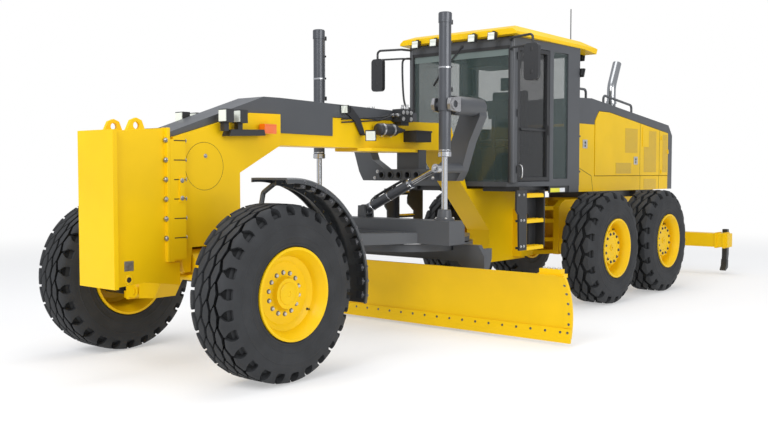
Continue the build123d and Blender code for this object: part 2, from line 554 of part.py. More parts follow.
brackets = []
for side in (1, -1):
    plate = slab_y(
        [(PITCH_X - 60, 190), (PITCH_X - 60, 320), (1560, 580), (1690, 580), (1690, 500), (1640, 440),
         (1640, 250), (1690, 230), (1690, 150), (1600, 150)], 780, 835)
    plate += box(PITCH_X - 60, PITCH_X + 60, 830, 896, 190, 320)
    plate -= pin_y(PITCH_X, 830, 900, PITCH_Z, 35 + FIT)
    for z0, z1 in RAILS:
        back = mold_x((z0 + z1) / 2, MOLD_T)
        plate -= box(back - 40 - RUB, 1800, 700, 900, z0 - RUB, z1 + RUB)
    brackets.append(sided(plate, side))
tie = box(1545, 1575, -790, 790, 320, 440)
shell = pin_y(CYL_X, -790, 790, CYL_Z, 55)
bracket = join(brackets) + tie + shell
bracket -= pin_y(CYL_X, -900, 690, CYL_Z, SLIDE_ROD_R + FIT)
write("blade_bracket", bracket)

# ---- blade lift cylinders and saddle -------------------------------------------------------

BOSS_X0, BOSS_X1 = 1330, 1460               # lift arms, front to rear
YOKE_HALF = 78
for name, side in SIDES:
    y = side * LIFT_Y
    fork = slab_y([(LIFT_X - 110, LIFT_Z - 75), (LIFT_X - 110, LIFT_Z + 75), (LIFT_X + 60, LIFT_Z + 62),
                   (LIFT_X + 75, LIFT_Z), (LIFT_X + 60, LIFT_Z - 62)],
                  y - YOKE_HALF - 35, y + YOKE_HALF + 35, radius=25)
    fork -= box(LIFT_X - 80, LIFT_X + 120, y - YOKE_HALF, y + YOKE_HALF, LIFT_Z - 80, LIFT_Z + 80)
    fork += pin_x(1500, LIFT_X - 82, y, LIFT_Z, 60)
    for out in (-1, 1):
        fork += pin_y(LIFT_X, y + out * (YOKE_HALF + 34), y + out * (YOKE_HALF + 50), LIFT_Z, 56)
    fork -= pin_y(LIFT_X, y - 200, y + 200, LIFT_Z, 35 + FIT)
    write(f"lift_yoke_{name}", fork)
    barrel = pin_z(LIFT_X, y, LIFT_BOTTOM, LIFT_TOP, 60) + pin_z(LIFT_X, y, LIFT_Z - 60, LIFT_Z + 60, 70)
    barrel += pin_z(LIFT_X, y, LIFT_TOP - 90, LIFT_TOP, 66)
    barrel += pin_y(LIFT_X, y - YOKE_HALF - 33, y + YOKE_HALF + 33, LIFT_Z, 35)
    barrel -= pin_z(LIFT_X, y, LIFT_BOTTOM - 10, 2950, LIFT_ROD_R + FIT)
    write(f"lift_barrel_{name}", barrel)
    write(f"lift_rod_{name}", pin_z(LIFT_X, y, CAP_TOP + 2, 2420, LIFT_ROD_R))

lift_arm = slab_x(
    [(900, 2330), (930, 2160), (800, 1900), (700, 1600), (640, 1500), (330, 1500), (330, 1625), (500, 1730),
     (600, 1980), (690, 2200), (770, 2330)], BOSS_X0, BOSS_X1, radius=18)
lift_arm += pin_x(BOSS_X0 + 20, LIFT_X - 115, LIFT_Y, LIFT_Z, 92)
lift_arm -= pin_x(1495, LIFT_X, LIFT_Y, LIFT_Z, 60 + FIT)
LOCK_X1 = 1540
lock = box(BOSS_X0, LOCK_X1, -420, 420, 1500, 1625)
hanger = box(BOSS_X0, BOSS_X1, -150, 150, 1620, BEAM_BOTTOM - 1)
saddle = both(lift_arm) + lock + hanger
for y in (-300, -180, -60, 60, 180, 300):
    saddle -= pin_x(BOSS_X0 - 10, LOCK_X1 + 10, y, 1562, 30)
saddle += pin_x(BOSS_X1 - 20, SWING_X - 120, *SWING_HIGH, 48)
write("blade_saddle", saddle)

# The cylinder that swings the drawbar lies across it, from its right end to the left lift arm.
swing_root = Vector(SWING_X, *SWING_LOW)
swing_eye = Vector(SWING_X, *SWING_HIGH)
swing_line = (swing_eye - swing_root).normalized()
swing = rod(swing_root, swing_root + swing_line * 690, 50) + pin_x(SWING_X - 45, SWING_X + 45, *SWING_LOW, 60)
swing -= rod(swing_root + swing_line * 70, swing_eye, 27 + FIT)
swing -= pin_x(SWING_X - 50, SWING_X + 50, *SWING_LOW, 28 + FIT)
write("swing_barrel", swing)
swing_rod = rod(swing_root + swing_line * 375, swing_eye - swing_line * 40, 27)
swing_rod += pin_x(SWING_X - 30, SWING_X + 30, *SWING_HIGH, 45)
write("swing_rod", swing_rod - pin_x(SWING_X - 40, SWING_X + 40, *SWING_HIGH, 28))

# ---- cab ---------------------------------------------------------------------------------


def cab_plan(inset):
    """The cab's outline from above, moved inwards."""
    return [
        (CAB_FRONT - inset, -CAB_FRONT_HALF + inset), (CAB_FRONT - inset, CAB_FRONT_HALF - inset),
        (-230, CAB_MID_HALF - inset), (CAB_REAR + inset, CAB_REAR_HALF - inset),
        (CAB_REAR + inset, -CAB_REAR_HALF + inset), (-230, -CAB_MID_HALF + inset)]


cab = slab_z(cab_plan(0), CAB_FLOOR, CAB_EAVES) - slab_z(cab_plan(WALL), CAB_FLOOR + 50, CAB_EAVES - 60)
DOOR_Z0, DOOR_Z1 = CAB_FLOOR + 55, CAB_EAVES - 95
door_hole = box(DOOR_REAR_X, DOOR_FRONT_X, 500, 1000, DOOR_Z0, DOOR_Z1)
panel = cab & box(DOOR_REAR_X + HATCH_GAP, DOOR_FRONT_X - HATCH_GAP, 600, 1000,
                  DOOR_Z0 + HATCH_GAP, DOOR_Z1 - HATCH_GAP)
panel -= box(DOOR_REAR_X + 52, DOOR_FRONT_X - 46, 600, 1000, DOOR_Z0 + 50, DOOR_Z1 - 50)
panel += box(DOOR_REAR_X + 40, DOOR_FRONT_X - 40, 742, 762, 2060, 2085)
cab -= both(door_hole)
WINDOWS = (      # (x0, x1, y0, y1, z0, z1) of the fixed openings, left side and middle
    (-620, -285, 500, 1000, DOOR_Z0 + 30, DOOR_Z1),
    (CAB_FRONT - 200, CAB_FRONT + 50, -668, 668, DOOR_Z0, DOOR_Z1 - 30),
    (CAB_REAR - 50, CAB_REAR + 200, -680, 680, 2150, DOOR_Z1),
)
for x0, x1, y0, y1, z0, z1 in WINDOWS:
    cab -= both(box(x0, x1, y0, y1, z0, z1)) if y0 > 0 else box(x0, x1, y0, y1, z0, z1)
# The lower front corners are cut back, and the rear posts stand on feet beside the hood.
cab -= both(slab_z([(CAB_FRONT + 5, 640), (CAB_FRONT + 5, 800), (330, 800)], CAB_FLOOR - 5, CAB_FLOOR + 46))
cab += both(box(CAB_REAR, -660, 700, 796, 1350, CAB_FLOOR + 5))
cab += both(pin_z(CAB_FRONT - 22, CAB_FRONT_HALF - 26, CAB_FLOOR + 45, CAB_EAVES - 40, 34))
write("cab_frame", cab)

PANE = 8
panes = []
for x0, x1, y0, y1, z0, z1 in WINDOWS[1:]:
    x = CAB_FRONT - 24 if x0 > 0 else CAB_REAR + 16
    panes.append(box(x, x + PANE, y0, y1, z0, z1))
side_band = slab_z(cab_plan(16), DOOR_Z0 + 30, DOOR_Z1) - slab_z(cab_plan(16 + PANE), DOOR_Z0, DOOR_Z1 + 10)
panes.append(both(side_band & box(-620, -285, 500, 1000, 0, 4000)))
write("cab_glass", join(panes))

ROOF_FRONT, ROOF_REAR = 590, -1330
roof = slab_y(
    [(ROOF_FRONT, 3102), (ROOF_FRONT, 3165), (430, 3216), (-1050, 3196), (ROOF_REAR, 3125),
     (ROOF_REAR + 30, 3060), (-1000, CAB_EAVES), (380, CAB_EAVES)], -812, 812)
roof &= slab_x([(-812, 3000), (-812, 3130), (-700, 3216), (700, 3216), (812, 3130), (812, 3000)], -1400, 700)
write("cab_roof", roof)

for name, side in SIDES:
    write(f"cab_door_{name}", sided(panel, side))

FLOOR = CAB_FLOOR + 50
interior = box(-560, -60, -260, 260, 1880, 1970) + box(-650, -540, -250, 250, 1900, 2620)
interior += box(-480, -160, -160, 160, FLOOR, 1890)
console = slab_y([(180, FLOOR), (300, FLOOR), (400, 2120), (330, 2220), (250, 2200)], -110, 110)
write("cab_interior", interior + console)

STEP_Y0, STEP_Y1 = 800, 930
LADDER = (      # (x, z) outlines of the front and rear side plates
    [(534, 740), (686, 740), (700, 1130), (745, 1180), (745, 1395), (534, 1395)],
    [(146, 755), (316, 755), (316, 1120), (440, 1210), (440, 1290), (380, 1395), (146, 1395)],
)
ladder = slab_y(LADDER[0], STEP_Y1 - 22, STEP_Y1) + slab_y(LADDER[1], STEP_Y0, STEP_Y0 + 22)
ladder += box(146, 168, STEP_Y0, STEP_Y1, 755, 1395)
for z in (742, 1040, 1320):
    ladder += box(150, 560, STEP_Y0, STEP_Y1 - 8, z, z + 26)
ladder += box(534, 556, STEP_Y0 + 60, STEP_Y1, 740, 1395)
ladder += box(200, 500, 620, STEP_Y0 + 10, 1385, 1428)
write("cab_steps", both(ladder))

MIRROR_X, MIRROR_Y = 690, 1080
fittings = pipe(
    [(CAB_FRONT + 21, 700, 3050), (600, 780, 3060), (MIRROR_X, MIRROR_Y, 3060), (MIRROR_X, MIRROR_Y, 2640)],
    13, 45)
fittings += pipe([(CAB_FRONT + 20, 700, 2950), (600, 780, 2950), (MIRROR_X, MIRROR_Y - 1, 2950)], 11, 45)
fittings += slab_x([(985, 2570), (985, 2960), (1160, 2960), (1160, 2570)],
                   MIRROR_X - 28, MIRROR_X + 24, radius=45)
lamp_bracket = slab_y([(3800, 1905), (3815, 1955), (4180, 1945), (4200, 1890)], BOLSTER_HALF + 1, 300)
for x in (4075, 4225):
    lamp_bracket += box(x - 25, x + 25, 240, 290, 1930, 2010) + box(x - 38, x + 38, 235, 340, 2000, 2110)
for y in (268, 532):
    lamp = box(ROOF_FRONT + 1, ROOF_FRONT + 26, y - 14, y + 14, 3085, 3150)
    lamp += slab_y([(ROOF_FRONT + 20, 3045), (ROOF_FRONT + 12, 3135), (ROOF_FRONT + 62, 3135),
                    (ROOF_FRONT + 70, 3045)], y - 48, y + 48)
    fittings += lamp
write("cab_fittings", both(fittings + lamp_bracket) + pin_z(-1100, 560, 3186, 3620, 6))
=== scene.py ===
from math import cos, dist, pi, radians, sin, sqrt

import bmesh
import bpy
from mathutils import Matrix, Vector


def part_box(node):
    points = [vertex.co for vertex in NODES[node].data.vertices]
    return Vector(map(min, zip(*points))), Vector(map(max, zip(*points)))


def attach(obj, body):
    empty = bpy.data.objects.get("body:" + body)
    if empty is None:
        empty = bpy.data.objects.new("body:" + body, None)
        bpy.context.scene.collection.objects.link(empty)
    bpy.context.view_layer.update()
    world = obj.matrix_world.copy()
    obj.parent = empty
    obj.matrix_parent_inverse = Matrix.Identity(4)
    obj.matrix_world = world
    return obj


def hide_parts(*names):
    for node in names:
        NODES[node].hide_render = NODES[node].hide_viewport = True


# Looks of a motor grader, in metres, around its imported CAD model. +X forward, +Y left, +Z up.

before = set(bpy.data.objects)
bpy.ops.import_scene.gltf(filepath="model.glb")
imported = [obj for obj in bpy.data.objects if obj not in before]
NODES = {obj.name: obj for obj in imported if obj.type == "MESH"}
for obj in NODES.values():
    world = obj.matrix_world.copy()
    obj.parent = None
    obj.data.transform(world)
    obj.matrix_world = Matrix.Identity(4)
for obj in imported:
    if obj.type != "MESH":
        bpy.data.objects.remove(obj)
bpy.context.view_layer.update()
scene = bpy.context.scene
X, Y, Z = (Vector(axis) for axis in ((1, 0, 0), (0, 1, 0), (0, 0, 1)))
SIDES = (("left", 1), ("right", -1))
WHEEL_ROWS = ("front", "mid", "rear")

# ---- materials ----


def colour(red, green, blue):
    """A colour as it is seen on screen, turned into the linear one that shaders take."""
    return tuple(c / 12.92 if c <= 0.04045 else ((c + 0.055) / 1.055) ** 2.4
        for c in (red, green, blue)) + (1,)


def scaled(rgba, by):
    return tuple(min(1, c * by) for c in rgba[:3]) + (1,)


def settle(node, values):
    """Sets inputs of a node by their names."""
    for name, value in values.items():
        node.inputs[name].default_value = value


def add_node(tree, kind, values=None):
    made = tree.nodes.new("ShaderNode" + kind)
    settle(made, values or {})
    return made


def connect(tree, *pairs):
    for output, socket in pairs:
        tree.links.new(output, socket)


class Look:
    """A material being made: its tree of nodes around one shader."""

    def __init__(self, name, values=None):
        self.material = bpy.data.materials.new(name)
        self.material.use_nodes = True
        self.tree = self.material.node_tree
        self.shader = self.tree.nodes["Principled BSDF"]
        settle(self.shader, values or {})

    def texture(self, kind, values, output="Fac"):
        """A texture in the object's own coordinates, in metres."""
        made = add_node(self.tree, "Tex" + kind, values)
        place = add_node(self.tree, "TexCoord")
        connect(self.tree, (place.outputs["Object"], made.inputs["Vector"]))
        return made.outputs[output]

    def noise(self, scale, detail):
        return self.texture("Noise", {"Scale": scale, "Detail": detail})

    def shade(self, value, low, high, start=0.35, end=0.65):
        """Runs the colour from low to high as the value goes from start to end."""
        made = add_node(self.tree, "ValToRGB")
        ends = made.color_ramp.elements
        ends[0].position, ends[1].position = start, end
        ends[0].color, ends[1].color = low, high
        connect(self.tree, (value, made.inputs["Fac"]),
            (made.outputs["Color"], self.shader.inputs["Base Color"]))

    def gloss(self, value, low, high):
        """Runs the roughness from low to high with the value."""
        made = add_node(self.tree, "MapRange", {"To Min": low, "To Max": high})
        connect(self.tree, (value, made.inputs["Value"]),
            (made.outputs["Result"], self.shader.inputs["Roughness"]))

    def bump(self, value, strength, distance):
        made = add_node(self.tree, "Bump", {"Strength": strength, "Distance": distance})
        connect(self.tree, (value, made.inputs["Height"]),
            (made.outputs["Normal"], self.shader.inputs["Normal"]))


def paint(name, rgba, rough=0.32, coat=0.35, vary=0.05, peel=0.04, metallic=0.0, gloss_level=0.5):
    """Sprayed enamel: broad faint cloudiness, a little orange peel and an uneven gloss."""
    look = Look(name, {"Metallic": metallic, "Specular IOR Level": gloss_level, "Coat Weight": coat,
        "Coat Roughness": 0.12})
    look.shade(look.noise(1.6, 4), scaled(rgba, 1 - vary), scaled(rgba, 1 + vary))
    look.gloss(look.noise(7, 5), rough - 0.06, rough + 0.08)
    look.bump(look.noise(220, 2), peel, 0.002)
    return look.material


def rubber(name, rgba, rough=0.72):
    """Tyre rubber: dull, with a fine grain and paler dusty patches."""
    look = Look(name, {"Roughness": rough, "Specular IOR Level": 0.35})
    look.shade(look.noise(5, 6), rgba, scaled(rgba, 1.5), 0.4, 0.75)
    look.bump(look.noise(160, 4), 0.25, 0.003)
    return look.material


def metal(name, rgba, rough=0.25, strength=0.08, fine=60):
    """Bare metal: small marks show in its colour, its gloss and its surface."""
    look = Look(name, {"Metallic": 1.0})
    marks = look.noise(fine, 4)
    look.shade(marks, scaled(rgba, 0.86), scaled(rgba, 1.08))
    look.gloss(marks, rough * 0.7, rough * 1.4)
    look.bump(marks, strength, 0.001)
    return look.material


def tinted_glass(name, rgba, alpha):
    look = Look(name, {"Roughness": 0.03, "Alpha": alpha, "Specular IOR Level": 0.7, "Coat Weight": 0.5})
    look.shade(look.noise(3, 2), rgba, scaled(rgba, 1.15))
    return look.material


def lens(name, rgba, glow):
    """Moulded lamp glass with fine flutes."""
    look = Look(name, {"Roughness": 0.12, "Coat Weight": 1.0, "Emission Color": rgba,
        "Emission Strength": glow})
    flutes = look.texture("Wave", {"Scale": 60})
    look.shade(flutes, scaled(rgba, 0.8), rgba)
    look.bump(flutes, 0.3, 0.004)
    return look.material


def perforated(name, rgba, pitch=0.016):
    """Enamelled sheet with rows of small round holes, painted dark inside as the shade seen through them."""
    look = Look(name, {"Roughness": 0.4})
    holes = look.texture("Voronoi", {"Scale": 1 / pitch, "Randomness": 0.0}, "Distance")
    look.shade(holes, scaled(rgba, 0.28), rgba, 0.24, 0.32)
    look.bump(holes, 0.5, 0.003)
    return look.material


def upholstery(name, rgba):
    """Woven seat cloth: a fine crossed weave, dull, with a soft sheen."""
    look = Look(name, {"Roughness": 0.9, "Sheen Weight": 0.3})
    weave = look.texture("Checker", {"Scale": 420})
    look.shade(weave, scaled(rgba, 1.6), rgba)
    look.bump(weave, 0.2, 0.001)
    return look.material


YELLOW_RGB = colour(0.915, 0.745, 0.04)
GREY_RGB = colour(0.275, 0.285, 0.30)
YELLOW = paint("yellow_enamel", YELLOW_RGB, rough=0.40, coat=0.05, gloss_level=0.2)
GREY = paint("charcoal_enamel", GREY_RGB, rough=0.42, coat=0.15)
BLACK = paint("black_enamel", colour(0.145, 0.15, 0.16), rough=0.45, coat=0.1)
FENDER = paint("fender_grey", colour(0.235, 0.245, 0.255), rough=0.38, coat=0.2)
PLASTIC = paint("black_plastic", colour(0.13, 0.13, 0.14), rough=0.55, coat=0.0, peel=0.15)
BARREL = paint("cylinder_barrel", colour(0.30, 0.31, 0.33), rough=0.3, coat=0.2, metallic=0.35)
SEAM = paint("panel_gap", colour(0.20, 0.16, 0.06), rough=0.7, coat=0.0)
STRIP = paint("reflector_strip", colour(0.90, 0.88, 0.20), rough=0.3)
WHITE_STRIP = paint("white_reflector", colour(0.90, 0.91, 0.92), rough=0.25)
VISOR = paint("green_visor", colour(0.40, 0.45, 0.44), rough=0.2, coat=0.6)
TYRE = rubber("tyre_rubber", colour(0.165, 0.17, 0.178))
# The groove floors take this darker copy of the tyre rubber: painted shade in the grooves.
GROOVE_SHADE = rubber("groove_shade_rubber", colour(0.075, 0.08, 0.085), rough=0.9)
CHROME = metal("hard_chrome", (0.62, 0.63, 0.65, 1), rough=0.16, strength=0.01, fine=400)
EXHAUST = metal("exhaust_chrome", (0.42, 0.43, 0.44, 1), rough=0.2, strength=0.02, fine=400)
STEEL = metal("plated_steel", (0.62, 0.62, 0.62, 1), rough=0.3)
CAST = metal("machined_steel", (0.42, 0.42, 0.43, 1), rough=0.4)
DARK_BOLT = metal("dark_bolt", (0.16, 0.16, 0.17, 1), rough=0.35)
MIRROR = metal("mirror_glass", (0.78, 0.80, 0.82, 1), rough=0.04, strength=0.01)
GLASS = tinted_glass("tinted_glass", colour(0.30, 0.36, 0.35), 0.30)
DARK_GLASS = tinted_glass("dark_glass", colour(0.15, 0.155, 0.155), 0.58)
LENS = lens("lamp_lens", colour(0.90, 0.92, 0.88), 0.06)
ORANGE = lens("orange_lens", colour(0.95, 0.42, 0.05), 0.03)
RED = lens("red_lens", colour(0.75, 0.07, 0.05), 0.1)
# The holes in these perforated sheets are painted dark as shade.
MESH_YELLOW = perforated("perforated_yellow", scaled(YELLOW_RGB, 0.86))
MESH_GREY = perforated("perforated_grey", scaled(GREY_RGB, 0.8))
CLOTH = upholstery("seat_cloth", colour(0.14, 0.145, 0.15))

# ---- CAD nodes that stay: their materials and softened edges ----

# A name that ends in _ stands for a left and a right node.
KEPT = {
    YELLOW: "front_frame push_block hood_belt rear_frame front_axle moldboard cab_roof ripper_mount "
            "ripper_beam lean_bar hood_door_ tandem_ rim_front_ rim_mid_ rim_rear_ lean_yoke_",
    GREY: "beam_cover cab_frame hood_top drawbar circle blade_bracket blade_saddle rear_axle "
          "engine_block rear_grille",
    BLACK: "cab_door_ cab_steps cab_fittings ripper_shanks",
    PLASTIC: "cab_interior",
    FENDER: "knuckle_",
    BARREL: "lift_barrel_ swing_barrel ripper_barrels",
    CHROME: "lift_rod_ swing_rod ripper_rods",
    EXHAUST: "exhaust_stack",
    CAST: "lift_yoke_ drawbar_ball",
    GLASS: "cab_glass",
    TYRE: "tyre_front_ tyre_mid_ tyre_rear_",
}


def soften(obj):
    """Rounds the edges of a piece that has sharp ones, in its modifiers only."""
    weld = obj.modifiers.new("weld", "WELD")
    weld.merge_threshold = 0.0001
    rounding = obj.modifiers.new("round_edges", "BEVEL")
    rounding.width = 0.004
    rounding.segments = 2
    rounding.limit_method = "ANGLE"
    rounding.angle_limit = radians(35)
    rounding.use_clamp_overlap = True
    normals = obj.modifiers.new("face_normals", "WEIGHTED_NORMAL")
    normals.keep_sharp = True


for material, names in KEPT.items():
    for name in names.split():
        for side in ("left", "right") if name.endswith("_") else ("",):
            node = NODES[name + side]
            node.data.materials.clear()
            node.data.materials.append(material)
            for face in node.data.polygons:
                face.use_smooth = True
            soften(node)

# ---- small mesh tools ----


def new_object(name, data):
    made = bpy.data.objects.new(name, data)
    scene.collection.objects.link(made)
    return made


def mesh_of(name, shape, sharp, *materials):
    """Turns a bmesh into a smooth mesh whose edges stay sharp above an angle in degrees."""
    mesh = bpy.data.meshes.new(name)
    shape.to_mesh(mesh)
    shape.free()
    for material in materials:
        mesh.materials.append(material)
    for face in mesh.polygons:
        face.use_smooth = True
    mesh.set_sharp_from_angle(angle=radians(sharp))
    return mesh


def make(name, shape, material, body="front_body", bevel=0.0, sharp=35):
    """A bmesh as a piece that rides on a body, its sharp edges rounded by bevel metres."""
    if bevel:
        edges = [e for e in shape.edges if len(e.link_faces) == 2 and e.calc_face_angle(0) > radians(30)]
        bmesh.ops.bevel(shape, geom=edges, offset=bevel, segments=2, affect="EDGES", clamp_overlap=True)
    bmesh.ops.recalc_face_normals(shape, faces=shape.faces)
    piece = new_object(name, mesh_of(name, shape, sharp, material))
    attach(piece, body)
    return piece


def slab(shape, points, start, end):
    """Adds the closed outline points to shape, extruded along the vector from start to end."""
    base = Vector(start)
    along = Vector(end) - base
    low = [shape.verts.new(base + Vector(p)) for p in points]
    high = [shape.verts.new(base + Vector(p) + along) for p in points]
    shape.faces.new(low)
    shape.faces.new(high[::-1])
    for n in range(len(points)):
        shape.faces.new((low[n], high[n], high[n - 1], low[n - 1]))
    return shape


def plate(shape, side, y0, y1, points):
    """Adds an outline of (x, z) points between two distances out from the middle, to a side, 1 or -1."""
    low, high = sorted((side * y0, side * y1))
    return slab(shape, [(x, 0, z) for x, z in points], (0, low, 0), (0, high, 0))


def boxes(shape, side, *spans):
    """Adds boxes (x0, x1, y0, y1, z0, z1), their y out from the middle to a side, 1 or -1."""
    for x0, x1, y0, y1, z0, z1 in spans:
        low, high = sorted((side * y0, side * y1))
        slab(shape, [(x0, low, z0), (x1, low, z0), (x1, high, z0), (x0, high, z0)], (0, 0, 0),
            (0, 0, z1 - z0))
    return shape


def box_piece(name, material, bevel, side, *spans, body="front_body"):
    make(name, boxes(bmesh.new(), side, *spans), material, body, bevel)


def frame_of(axis):
    """The axis as a unit vector, and two more across it."""
    axis = Vector(axis).normalized()
    side = (Z.cross(axis) if abs(axis.z) < 0.9 else axis.orthogonal()).normalized()
    return axis, side, axis.cross(side)


def turn(shape, centre, axis, profile, segments=24):
    """Adds a shape turned about an axis from (distance along it, radius) pairs; a radius of 0 closes it."""
    centre = Vector(centre)
    axis, side, up = frame_of(axis)
    rings = []
    for along, radius in profile:
        middle = centre + axis * along
        angles = (2 * pi * n / segments for n in range(segments if radius else 1))
        rings.append([shape.verts.new(middle + (side * cos(a) + up * sin(a)) * radius) for a in angles])
    for one, two in zip(rings, rings[1:]):
        for n in range(segments):
            if len(one) == 1:
                shape.faces.new((one[0], two[n - 1], two[n]))
            elif len(two) == 1:
                shape.faces.new((one[n], one[n - 1], two[0]))
            else:
                shape.faces.new((one[n], one[n - 1], two[n - 1], two[n]))
    return shape


def rod(length, radius):
    """The profile of a plain round bar with closed ends."""
    return [(0, 0), (0, radius), (length, radius), (length, 0)]


def band(length, bore, radius):
    """The profile of an open ring round a bar."""
    return [(0, bore), (0.002, radius), (length - 0.002, radius), (length, bore)]


def bolt(shape, place, axis, size, washer=True):
    """A hexagon head on a washer: size is the head's radius, axis points out of the surface."""
    parts = [(((-0.002 / size, 1.35), (0.18, 1.35), (0.22, 1.25), (0.22, 0)), 20)] if washer else []
    parts.append((((0, 1), (0.75, 1), (0.85, 0.86), (0.85, 0)), 6))
    parts.append((((0.8, 0.5), (1.05, 0.5), (1.12, 0.4), (1.12, 0)), 12))
    for profile, segments in parts:
        turn(shape, place, axis, [(along * size, radius * size) for along, radius in profile], segments)


def tube(name, points, radius, material, body="front_body"):
    """A round bar or pipe along one smooth line."""
    curve = bpy.data.curves.new(name, "CURVE")
    curve.dimensions = "3D"
    curve.bevel_depth = radius
    curve.bevel_resolution = 3
    curve.use_fill_caps = True
    line = curve.splines.new("NURBS")
    line.points.add(len(points) - 1)
    for point, place in zip(line.points, points):
        point.co = (*place, 1)
    line.order_u = 3
    line.use_endpoint_u = True
    line.resolution_u = 8
    curve.materials.append(material)
    piece = new_object(name, curve)
    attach(piece, body)


# ---- tyres ----

TYRE_LOW, TYRE_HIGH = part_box("tyre_front_left")
TYRE_R = (TYRE_HIGH.z - TYRE_LOW.z) / 2
FLOOR_STEPS = 4  # straight steps of a tyre's surface in each pitch of its tread

# Outside of the tread from its middle to the sidewall, and the floor of its grooves: (y, depth).
TOP = (0, 0), (0.120, 0.001), (0.160, 0.004), (0.178, 0.014), (0.190, 0.034), (0.202, 0.068), (0.212, 0.102)
FLOOR = ((0, 0.036), (0.110, 0.037), (0.138, 0.041), (0.150, 0.050), (0.159, 0.066), (0.169, 0.088),
    (0.186, 0.112))
TREAD_TOP, TREAD_FLOOR = ([(y, TYRE_R - depth) for y, depth in profile] for profile in (TOP, FLOOR))
# Casing from the tread's floor down to the bead, with fine raised rings: (y, radius).
CASING = [(0.186, 0.594), (0.2055, 0.592), (0.212, 0.576), (0.2175, 0.552), (0.2205, 0.528),
    (0.2235, 0.524), (0.2235, 0.519), (0.2215, 0.515), (0.2225, 0.490), (0.2225, 0.462), (0.2205, 0.440),
    (0.2225, 0.436), (0.2225, 0.430), (0.2195, 0.426), (0.2150, 0.402), (0.2120, 0.384), (0.2160, 0.379),
    (0.2160, 0.368), (0.2080, 0.358), (0.1900, 0.350), (0.1740, 0.322)]
GROOVED_Y = TREAD_FLOOR[-2][0]


def on_profile(profile, along):
    """(y, radius) at a share, 0 to 1, of a half profile's length; a negative share is its other side."""
    side = -1 if along < 0 else 1
    lengths = [dist(a, b) for a, b in zip(profile, profile[1:])]
    left = min(abs(along), 1) * sum(lengths)
    for (y0, r0), (y1, r1), length in zip(profile, profile[1:], lengths):
        if left <= length:
            share = left / length
            return side * (y0 + (y1 - y0) * share), r0 + (r1 - r0) * share
        left -= length
    return side * profile[-1][0], profile[-1][1]


def tread_blocks(lines, wave, slant, groove, pocket):
    """One pitch of tread as (around, across) outlines; around is in pitches, across is a share of the width.

    lines are the zigzag grooves across the tread, wave is their swing, slant is how far a groove between
    two of them runs round the tyre, and pocket is the width of the hollow between two shoulder blocks.
    """
    outlines = []
    phase = 0
    for low, high in zip(lines, lines[1:]):
        after = phase + slant - 0.5
        near, away = low + wave + groove * 0.6, high - wave - groove * 0.6
        outlines.append([(phase + groove, near), (phase + 0.5, low - wave + groove),
            (phase + 1 - groove, near), (after + 1.5 - groove, away), (after + 1, high + wave - groove),
            (after + 0.5 + groove, away)])
        phase = after
    for side, zigzag, start in ((1, lines[-1], phase), (-1, lines[0], 0.5)):
        inner, half = abs(zigzag), pocket / 2
        flank = ((groove, inner + wave + groove), (groove * 1.2, 0.60), (half * 0.80, 0.70), (half, 0.80),
            (half * 0.95, 0.90), (half * 0.45, 0.995))
        near = [(start + inset, side * across) for inset, across in flank]
        away = [(start + 1 - inset, side * across) for inset, across in flank]
        outlines.append([near[0], (start + 0.5, side * (inner - wave + groove))] + away + near[:0:-1])
    return outlines


def tyre_mesh(name, pitches, **pattern):
    """A tyre about the Y axis through its centre: a casing, and blocks that stand on it."""
    shape = bmesh.new()
    half_profile = TREAD_FLOOR + CASING
    profile = [(-y, r) for y, r in reversed(half_profile[1:])] + half_profile
    rings = []
    for n in range(pitches * FLOOR_STEPS):
        a = 2 * pi * n / (pitches * FLOOR_STEPS)
        rings.append([shape.verts.new((r * cos(a), y, r * sin(a))) for y, r in profile])
    for one, two in zip(rings, rings[1:] + rings[:1]):
        for k in range(len(profile) - 1):
            face = shape.faces.new((one[k], one[k + 1], two[k + 1], two[k]))
            # The casing's floor between the tread blocks takes the darker rubber, as painted shade in the
            # grooves.
            face.material_index = int(max(abs(profile[k][0]), abs(profile[k + 1][0])) < GROOVED_Y)
    block = bmesh.new()
    for points in tread_blocks(**pattern):
        tops = [block.verts.new((x, y, 1)) for x, y in points]
        feet = [block.verts.new((x, y, 0)) for x, y in points]
        block.faces.new(tops)
        for k in range(len(points)):
            block.faces.new((feet[k - 1], feet[k], tops[k], tops[k - 1]))
    bmesh.ops.recalc_face_normals(block, faces=block.faces)
    rims = [e for e in block.edges if e.verts[0].co.z == 1 and e.verts[1].co.z == 1]
    bmesh.ops.bevel(block, geom=rims, offset=0.035, segments=1, affect="EDGES")
    cuts = [((n / FLOOR_STEPS, 0, 0), X) for n in range(-2 * FLOOR_STEPS, 3 * FLOOR_STEPS)]
    cuts += [((0, across, 0), Y) for across in (-0.86, -0.74, -0.62, 0.62, 0.74, 0.86)]
    for middle, normal in cuts:
        bmesh.ops.bisect_plane(block, geom=block.verts[:] + block.edges[:] + block.faces[:],
            plane_co=middle, plane_no=normal, dist=1e-5)
    bmesh.ops.triangulate(block, faces=[f for f in block.faces if len(f.verts) > 4])
    for n in range(pitches):
        copies = {}
        for v in block.verts:
            a = 2 * pi * (v.co.x + n) / pitches
            high_y, high_r = on_profile(TREAD_TOP, v.co.y)
            low_y, low_r = on_profile(TREAD_FLOOR, v.co.y)
            y = low_y + (high_y - low_y) * v.co.z
            r = low_r - 0.002 + (high_r - low_r + 0.002) * v.co.z
            copies[v] = shape.verts.new((r * cos(a), y, r * sin(a)))
        for face in block.faces:
            shape.faces.new([copies[v] for v in face.verts])
    block.free()
    bmesh.ops.recalc_face_normals(shape, faces=shape.faces)
    return mesh_of(name, shape, 28, TYRE, GROOVE_SHADE)


